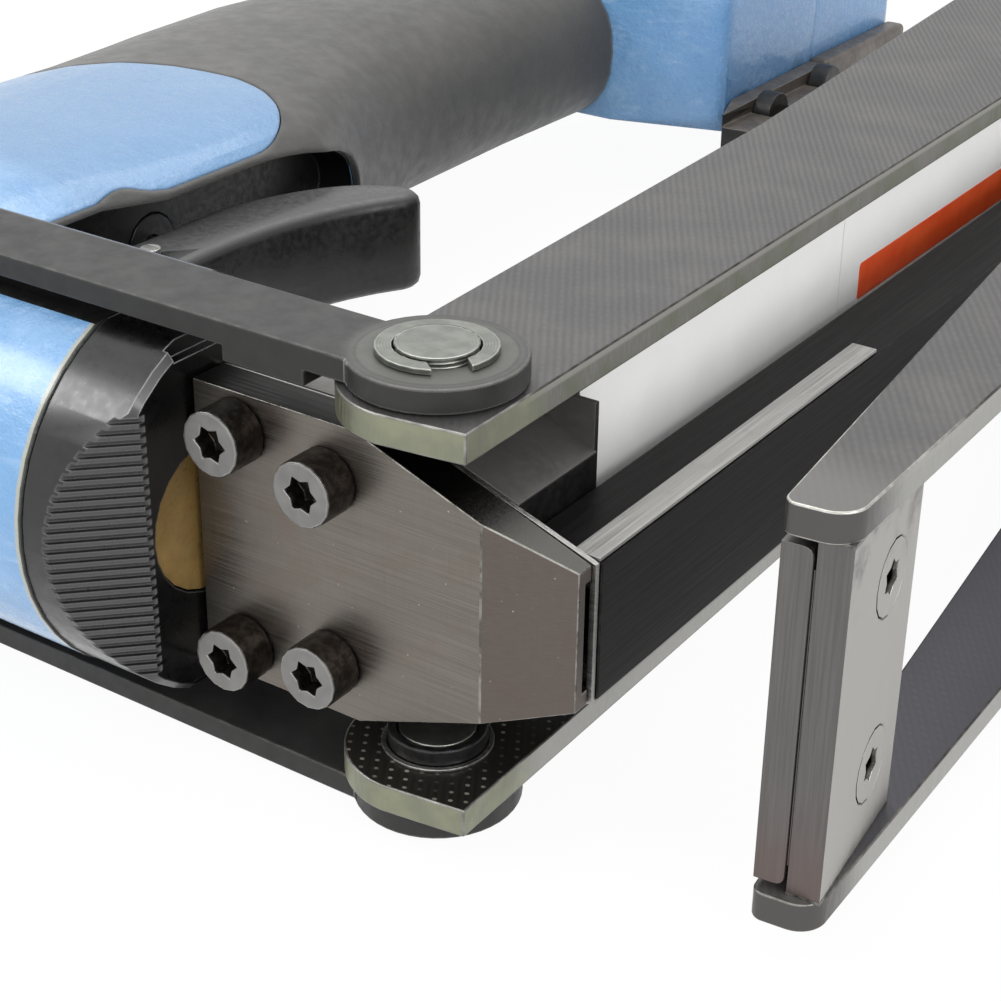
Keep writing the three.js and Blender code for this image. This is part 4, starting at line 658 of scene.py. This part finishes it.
def smooth_and_weld(node, *materials):
    """Gives a CAD node its materials and smooth faces, and welds its loose triangles."""
    piece = nodes[node]
    piece.data.materials.clear()
    for material in materials:
        piece.data.materials.append(material)
    bpy.ops.object.select_all(action="DESELECT")
    piece.select_set(True)
    bpy.context.view_layer.objects.active = piece
    if piece.data.has_custom_normals:
        bpy.ops.mesh.customdata_custom_splitnormals_clear()
    for polygon in piece.data.polygons:
        polygon.use_smooth = True
    piece.modifiers.new("weld", "WELD").merge_threshold = 0.02 * MM
    return piece


def tidy_edges(node, main, width, edge=None, angle=32):
    """Merges a CAD node's flat faces and rounds its sharp rims."""
    piece = smooth_and_weld(node, *([main, edge] if edge else [main]))
    flat = piece.modifiers.new("flat", "DECIMATE")
    flat.decimate_type = "DISSOLVE"
    flat.angle_limit = math.radians(0.4)
    flat.delimit = {"MATERIAL"}
    rounded = piece.modifiers.new("rounded", "BEVEL")
    rounded.width = width * MM
    rounded.segments = 2
    rounded.limit_method = "ANGLE"
    rounded.angle_limit = math.radians(angle)
    rounded.use_clamp_overlap = False
    rounded.harden_normals = True
    rounded.miter_outer = "MITER_SHARP"
    if edge:
        rounded.material = 1


def sharp_shading(node, main, angle=32):
    """Leaves the node's shape, with smooth faces and crisp rims."""
    piece = smooth_and_weld(node, main)
    split = piece.modifiers.new("split", "EDGE_SPLIT")
    split.split_angle = math.radians(angle)


# Node: material and rim width, then the rim material and the least rim angle where they matter
LOOKS = {
    "cylinder_cap": (OXIDE, 0.5, DARK_EDGE),
    "front_plate": (NOSE, 0.2, EDGE, 8), "nose_block": (FLANK, 0.2),
    "driver_guide": (PALE, 0.08), "magazine_channel": (MAGAZINE, 0.2),
    "track_strip_left": (STRIP, 0.1), "track_strip_right": (STRIP, 0.1),
    "jaw_plate_left": (HATCHED, 0.3, RIM), "jaw_plate_right": (HATCHED, 0.3, RIM),
    "jaw_web": (WEB, 0.3),
    "anvil_bar": (ANVIL, 0.1), "anvil_insert": (ANVIL, 0.1),
    "anvil_screw_1": (CLINCH, 0.12), "anvil_screw_2": (CLINCH, 0.12),
    "nose_pin_left": (PIN, 0.3), "nose_pin_right": (PIN, 0.3),
    "nose_clip_left": (PIN, 0.15), "nose_clip_right": (PIN, 0.15),
    "nose_bush_left": (OXIDE, 0.4), "nose_bush_right": (OXIDE, 0.4),
    "pull_bar_left": (BAR, 0.35), "pull_bar_right": (BAR, 0.35),
    "trigger_pin": (PALE, 0.2),
    "rear_bracket": (BRACKET, 0.4),
    "driver_sleeve": (PALE, 0.2), "piston": (PALE, 0.2),
    "driver_blade": (PALE, 0.1), "clamp_piston": (PALE, 0.3),
    "rod_nut": (PALE, 0.3), "crosshead": (OXIDE, 0.5),
    "crosshead_screw_left": (OXIDE, 0.25),
    "crosshead_screw_right": (OXIDE, 0.25),
    "valve_body": (SLOT_SHADE, 0.2), "valve_stem": (PALE, 0.2),
    "pivot_pin": (OXIDE, 0.3), "pivot_nut": (OXIDE, 0.3),
    "air_inlet": (PALE, 0.25),
    "staple_rail": (PALE, 0.15), "staple_strip": (ZINC, 0.08),
    "pusher": (OXIDE, 0.2), "magazine_end": (MOULDED, 0.5),
}
for number in range(1, 5):
    LOOKS[f"front_screw_{number}"] = (SCREW, 0.25)
    LOOKS[f"cap_screw_{number}"] = (OXIDE, 0.25)
for number in range(1, 3):
    LOOKS[f"bracket_screw_{number}"] = (OXIDE, 0.25)

for node, finish in LOOKS.items():
    tidy_edges(node, *finish)

# Castings, mouldings and ribbed pieces get their soft rims from the material
for node, main in (("body_housing", BLUE), ("grip_sleeve", RUBBER), ("bottom_collar", ANODISED),
                   ("bumper", AMBER), ("trigger", TRIGGER), ("handle_end_cap", MOULDED)):
    sharp_shading(node, main)
sharp_shading("pusher_spring", PALE, 180)


def refinish(node, material, chosen):
    """Gives another finish to the faces that a test picks by their middle (mm) and direction."""
    mesh = nodes[node].data
    mesh.materials.append(material)
    last = len(mesh.materials) - 1
    for polygon in mesh.polygons:
        if chosen(polygon.center / MM, polygon.normal):
            polygon.material_index = last


# Bare sawn sides of the jaw plates, and the crossbar's bright outer face
for node in ("jaw_plate_left", "jaw_plate_right"):
    refinish(node, CUT, lambda middle, facing: abs(facing.z) < 0.5)
refinish("anvil_bar", CLINCH, lambda middle, facing: (
    facing.x > 0.7 and middle.dot(Vector(ANVIL_OUT)) > ANVIL_FACE - 2))


def in_slot(middle):
    """True in the slot of the handle that the trigger swings in."""
    return abs(middle.z - MIDDLE) < 17 and 39 < middle.y < 131 and -128 < middle.x < -104


def on_flat(middle, facing):
    """True on the two flats of the cylinder that the pull bars run over."""
    return abs(facing.z) > 0.9 and middle.y < 17 and 29.5 < abs(middle.z - MIDDLE) < 30.4


# Painted shade: black in the trigger's slot and on the flats under the pull bars
refinish("body_housing", SLOT_SHADE, lambda middle, facing: in_slot(middle) or on_flat(middle, facing))

# Painted shade: the trigger's boss is black round its pin, inside the slot
refinish("trigger", SLOT_SHADE, lambda middle, facing: (
    facing.z > 0.5 and (middle - Vector((*TRIGGER_PIVOT, middle.z))).length < 6.5))

# The bracket's front end is black, and the web's front end is finished as the block before it
refinish("rear_bracket", OXIDE, lambda middle, facing: middle.y < 262)
refinish("jaw_web", FLANK, lambda middle, facing: facing.y < -0.7)


# New pieces
def start_piece(name):
    """Names the new primitive, and moves its place, turn and size into its mesh."""
    piece = bpy.context.active_object
    piece.name = piece.data.name = name
    bpy.ops.object.transform_apply(location=True, rotation=True, scale=True)
    return piece


def select_only(piece, kind, chosen):
    """Goes into edit mode with only the picked points, edges or faces selected."""
    bpy.ops.object.mode_set(mode="EDIT")
    bpy.ops.mesh.select_mode(type=kind)
    bpy.ops.mesh.select_all(action="DESELECT")
    bpy.ops.object.mode_set(mode="OBJECT")
    parts = {"VERT": piece.data.vertices, "EDGE": piece.data.edges, "FACE": piece.data.polygons}[kind]
    for part in parts:
        part.select = chosen(part)
    bpy.ops.object.mode_set(mode="EDIT")


def sheet(name, corners, radius, x, thickness, material):
    """A sheet with rounded corners on a face of constant X. Corners: Y, and height over the middle."""
    bpy.ops.object.select_all(action="DESELECT")
    bpy.ops.mesh.primitive_plane_add(size=MM, location=(x * MM, 0, MIDDLE * MM), rotation=(0, math.pi / 2, 0))
    piece = start_piece(name)
    for point in piece.data.vertices:
        y, z = corners[(0 if point.co.y < 0 else 1) + (0 if point.co.z < MIDDLE * MM else 2)]
        point.co.y, point.co.z = y * MM, (z + MIDDLE) * MM
    select_only(piece, "VERT", lambda point: True)
    bpy.ops.mesh.bevel(offset=radius * MM, segments=6, affect="VERTICES")
    bpy.ops.mesh.select_all(action="SELECT")
    bpy.ops.mesh.extrude_region_move(TRANSFORM_OT_translate={"value": (thickness * MM, 0, 0)})
    bpy.ops.mesh.select_all(action="SELECT")
    bpy.ops.mesh.normals_make_consistent(inside=False)
    bpy.ops.object.mode_set(mode="OBJECT")
    piece.data.materials.append(material)
    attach(piece, "jaw")


# The label on the web: two bare white panels, and a plain orange band on the rear one
LABEL_BASE = WEB_FACE + 0.02
LABEL_THICKNESS = 0.12
sheet("label_front", [(24.5, 4.6), (112.5, 2.4), (24.5, 25.2), (112.5, 25.5)],
      1.2, LABEL_BASE, LABEL_THICKNESS, LABEL)
sheet("label_rear", [(112.7, 0.2), (236, -1.6), (112.7, 25.5), (236, 25.8)],
      1.2, LABEL_BASE, LABEL_THICKNESS, LABEL)
sheet("label_band", [(121, 5.8), (228, 5.4), (121, 13), (228, 13)],
      0.8, LABEL_BASE + LABEL_THICKNESS, 0.06, BAND)


# A bead is a slice of the crossbar's end, moved outwards and swollen
BEAD_SLICE, BEAD_SHIFT, BEAD_SWELL = 0.45, 0.35, 0.09


def weld_bead(name, side):
    """Ground weld that closes the joint between an end of the crossbar and its jaw plate."""
    end = reach("anvil_bar", 1 if side > 0 else 0, 2)
    piece = bpy.data.objects.new(name, nodes["anvil_bar"].data.copy())
    piece.data.name = name
    bpy.context.scene.collection.objects.link(piece)
    bpy.ops.object.select_all(action="DESELECT")
    piece.select_set(True)
    bpy.context.view_layer.objects.active = piece
    bpy.ops.object.mode_set(mode="EDIT")
    bpy.ops.mesh.select_all(action="SELECT")
    bpy.ops.mesh.remove_doubles(threshold=0.01 * MM)
    bpy.ops.mesh.select_all(action="SELECT")
    bpy.ops.mesh.bisect(plane_co=(0, 0, (end - side * BEAD_SLICE) * MM), plane_no=(0, 0, side),
                        use_fill=True, clear_inner=True)
    bpy.ops.mesh.select_all(action="SELECT")
    bpy.ops.transform.translate(value=(0, 0, side * BEAD_SHIFT * MM))
    bpy.ops.transform.shrink_fatten(value=BEAD_SWELL * MM)
    bpy.ops.object.mode_set(mode="OBJECT")
    piece.data.materials.clear()
    piece.data.materials.append(WELD)
    for polygon in piece.data.polygons:
        polygon.material_index = 0
        polygon.use_smooth = False
    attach(piece, "jaw")


weld_bead("anvil_weld_left", 1)
weld_bead("anvil_weld_right", -1)


def bright_washer(name, base, inner, outer, height):
    """The thin washer that shows as a silver ring under a bush, on the nose pins' axis."""
    bpy.ops.object.select_all(action="DESELECT")
    bpy.ops.mesh.primitive_cylinder_add(vertices=64, radius=outer * MM, depth=height * MM,
                                        location=(0, 0, (base + height / 2) * MM))
    piece = start_piece(name)
    select_only(piece, "FACE", lambda face: abs(face.normal.z) > 0.9)
    bpy.ops.mesh.inset(thickness=(outer - inner) * MM, use_individual=True)
    bpy.ops.mesh.bridge_edge_loops()
    bpy.ops.mesh.select_all(action="SELECT")
    bpy.ops.mesh.normals_make_consistent(inside=False)
    bpy.ops.object.mode_set(mode="OBJECT")
    rim = piece.modifiers.new("rim", "BEVEL")
    rim.width = 0.12 * MM
    rim.segments = 2
    bpy.ops.object.modifier_apply(modifier="rim")
    piece.data.materials.append(PALE)
    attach(piece, "jaw")


WASHER_INNER, WASHER_OUTER, WASHER_HEIGHT, WASHER_PLAY = 7.78, 8.6, 0.5, 0.02
bright_washer("bush_washer_right", MIDDLE - PLATE_INNER + WASHER_PLAY,
              WASHER_INNER, WASHER_OUTER, WASHER_HEIGHT)
bright_washer("bush_washer_left", MIDDLE + PLATE_INNER - WASHER_PLAY - WASHER_HEIGHT,
              WASHER_INNER, WASHER_OUTER, WASHER_HEIGHT)


def rounded_block(name, low, high, radius, material, body, turn=0.0):
    """A block between two corners, its rims rounded, turned about its own upright axis."""
    bpy.ops.object.select_all(action="DESELECT")
    size = Vector(high) - Vector(low)
    bpy.ops.mesh.primitive_cube_add(size=MM, location=(Vector(low) + Vector(high)) / 2 * MM,
                                    rotation=(0, 0, turn), scale=size)
    piece = start_piece(name)
    select_only(piece, "EDGE", lambda edge: True)
    bpy.ops.mesh.bevel(offset=radius * MM, segments=4)
    bpy.ops.object.mode_set(mode="OBJECT")
    piece.data.materials.append(material)
    for polygon in piece.data.polygons:
        polygon.use_smooth = True
    piece.modifiers.new("even", "WEIGHTED_NORMAL").keep_sharp = True
    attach(piece, body)


# The web runs on under the upper jaw plate as far as the nose bush
SEAM = 0.05                                     # clearance to the plate or rim beside a filler
WEB_THICKNESS, GUSSET_HEIGHT, GUSSET_LAP, BUSH_ROOM = 4.0, 3.65, 0.7, 1.5
gusset_top, gusset_front = MIDDLE + PLATE_INNER - SEAM, reach("nose_bush_left", 1, 1) + BUSH_ROOM
rounded_block("web_gusset",
              (WEB_FACE - WEB_THICKNESS, gusset_front, gusset_top - GUSSET_HEIGHT),
              (WEB_FACE, reach("jaw_web", 0, 1) + GUSSET_LAP, gusset_top), 0.3, FLANK, "jaw")

# A plate closes the nose block's back
BACK_PLATE_TOP, BACK_PLATE_SUNK, BACK_PLATE_PROUD = -20.0, 0.2, 0.75
END_INSET, FLANK_INSET = 0.4, 0.8               # from the block's lower end, and from its right flank
block_back, block_end = reach("nose_block", 1, 1), reach("nose_block", 1, 0)
block_right, block_left = reach("nose_block", 0, 2), reach("nose_block", 1, 2)
rounded_block("block_back_plate",
              (BACK_PLATE_TOP, block_back - BACK_PLATE_SUNK, block_right + FLANK_INSET),
              (block_end - END_INSET, block_back + BACK_PLATE_PROUD, block_left - SEAM), 0.2, FLANK, "body")

# A thin shim closes the seam between the anvil's crossbar and its insert
bar_out = Vector(ANVIL_OUT).normalized()
bar_along = Vector((-bar_out.y, bar_out.x, 0))
bar_front = min(point.co.dot(bar_along) for point in nodes["anvil_bar"].data.vertices) / MM
SHIM = Vector((0.2, 4.0, 46.0))
SHIM_DROP, SHIM_SETBACK = 0.13, 0.1             # from the crossbar's inner face, and from its front
shim_centre = (bar_out * (ANVIL_FACE - ANVIL_BAR_THICKNESS - SHIM_DROP)
               + bar_along * (bar_front + SHIM_SETBACK + SHIM.y / 2))
shim_centre.z = MIDDLE
rounded_block("anvil_shim", shim_centre - SHIM / 2, shim_centre + SHIM / 2, 0.04, ANVIL, "jaw",
              math.atan2(bar_out.y, bar_out.x))

# Cast heel of the body behind the foot, just inside the foot's sides
HEEL_INSET, HEEL_LAP, HEEL_LENGTH, HEEL_DEPTH = 0.15, 11.0, 55.0, 22.65
heel_bottom, heel_start, heel_half = FOOT_BOTTOM - HEEL_INSET, BODY_END - HEEL_LAP, FOOT_HALF - HEEL_INSET
rounded_block("body_heel",
              (heel_bottom - HEEL_DEPTH, heel_start, MIDDLE - heel_half),
              (heel_bottom, heel_start + HEEL_LENGTH, MIDDLE + heel_half), 4.0, BLUE, "body")

# The rail of the bracket, which runs on under the heel on the tool's right side
RAIL_SUNK, RAIL_DEPTH, RAIL_LENGTH, RAIL_GAP = 0.4, 6.4, 51.8, 0.2
RAIL_OUTER, RAIL_INNER = 20.4, 9.5              # distances from the middle plane
rail_top, rail_start = FOOT_BOTTOM - RAIL_SUNK, reach("rear_bracket", 1, 1) + RAIL_GAP
rounded_block("bracket_rail_end",
              (rail_top, rail_start, MIDDLE - RAIL_OUTER),
              (rail_top + RAIL_DEPTH, rail_start + RAIL_LENGTH, MIDDLE - RAIL_INNER), 1.6, BRACKET, "body")

# Floor, world and lights. The floor shows nearly white and keeps a faint shadow.
FLOOR_GLOW = 0.95   # how far seen rays find the floor white
SKY_LIGHT = 0.7     # how strongly the world lights the part


def seen_rays(tree):
    """1 for rays that come from the camera, or by way of metal and glass."""
    path = tree.nodes.new("ShaderNodeLightPath")
    seen = path.outputs["Is Camera Ray"]
    for other in ("Is Glossy Ray", "Is Transmission Ray"):
        either = tree.nodes.new("ShaderNodeMath")
        either.operation = "MAXIMUM"
        tree.links.new(seen, either.inputs[0])
        tree.links.new(path.outputs[other], either.inputs[1])
        seen = either.outputs[0]
    return seen


bpy.ops.object.select_all(action="DESELECT")
bpy.ops.mesh.primitive_plane_add(size=8)
floor = bpy.context.active_object
floor.name = "floor"
floor_look = Look("floor", roughness=0.9)
floor_look.colour(floor_look.mix(floor_look.noise(0.01), (0.86, 0.86, 0.86, 1), (0.9, 0.9, 0.9, 1)))
glow = floor_look.add("ShaderNodeEmission")
glow.inputs["Strength"].default_value = 1.0
blend = floor_look.add("ShaderNodeMixShader")
floor_look.link(floor_look.both(seen_rays(floor_look.tree), FLOOR_GLOW), blend.inputs[0])
floor_look.tree.links.new(floor_look.shader.outputs[0], blend.inputs[1])
floor_look.tree.links.new(glow.outputs[0], blend.inputs[2])
floor_look.tree.links.new(blend.outputs[0], floor_look.tree.nodes["Material Output"].inputs["Surface"])
floor.data.materials.append(floor_look.material)

world = bpy.data.worlds.new("studio")
bpy.context.scene.world = world
world.use_nodes = True
tree = world.node_tree
background = tree.nodes["Background"]
strength = tree.nodes.new("ShaderNodeMix")
strength.inputs["A"].default_value = SKY_LIGHT
strength.inputs["B"].default_value = 1.0
tree.links.new(seen_rays(tree), strength.inputs["Factor"])
tree.links.new(strength.outputs["Result"], background.inputs["Strength"])
background.inputs["Color"].default_value = (1, 1, 1, 1)


def softbox(name, place, target, size, power):
    light = bpy.data.lights.new(name, "AREA")
    light.shape = "RECTANGLE"
    light.size, light.size_y = size
    light.energy = power
    lamp = bpy.data.objects.new(name, light)
    lamp.location = place
    lamp.rotation_euler = (Vector(target) - Vector(place)).to_track_quat("-Z", "Y").to_euler()
    bpy.context.scene.collection.objects.link(lamp)


softbox("top_light", (-0.25, 0.25, 0.95), (-0.02, 0.05, 0.04), (0.9, 0.9), 6.5)
softbox("front_light", (0.15, -1.0, 0.5), (0.0, 0.05, 0.04), (0.9, 0.5), 4.0)
softbox("collar_light", (-0.78, -0.48, 0.72), (-0.06, -0.02, 0.06), (0.4, 0.22), 3.2)
softbox("side_light", (0.82, -0.2, 0.52), (0.0, 0.1, 0.045), (0.7, 0.35), 5.0)

# Camera at the photograph's place, in pixels of its frame
FRAME_PX = 1001
SENSOR = 36
FOCAL_PX = 2064.36
CENTRE_PX = (513.6, 460.4)                      # where the camera's axis meets the picture
EYE = Vector((0.153148, -0.210263, 0.189380))   # in metres
RIGHT = Vector((0.82762516, 0.5610803, 0.01501662))
UP = Vector((-0.26447343, 0.36623607, 0.89214626))
FORWARD = Vector((-0.49506607, 0.74233419, -0.45149701))
camera = bpy.data.cameras.new("camera")
camera.sensor_fit = "HORIZONTAL"
camera.sensor_width = SENSOR
camera.lens = FOCAL_PX * SENSOR / FRAME_PX
camera.shift_x = (FRAME_PX / 2 - CENTRE_PX[0]) / FRAME_PX
camera.shift_y = (CENTRE_PX[1] - FRAME_PX / 2) / FRAME_PX
camera.clip_start = 0.01
camera.clip_end = 20
view = bpy.data.objects.new("camera", camera)
turn = Matrix((RIGHT, UP, -FORWARD)).transposed().to_4x4()
view.matrix_world = Matrix.Translation(EYE) @ turn
bpy.context.scene.collection.objects.link(view)
bpy.context.scene.camera = view
bpy.context.scene.view_settings.view_transform = "Standard"
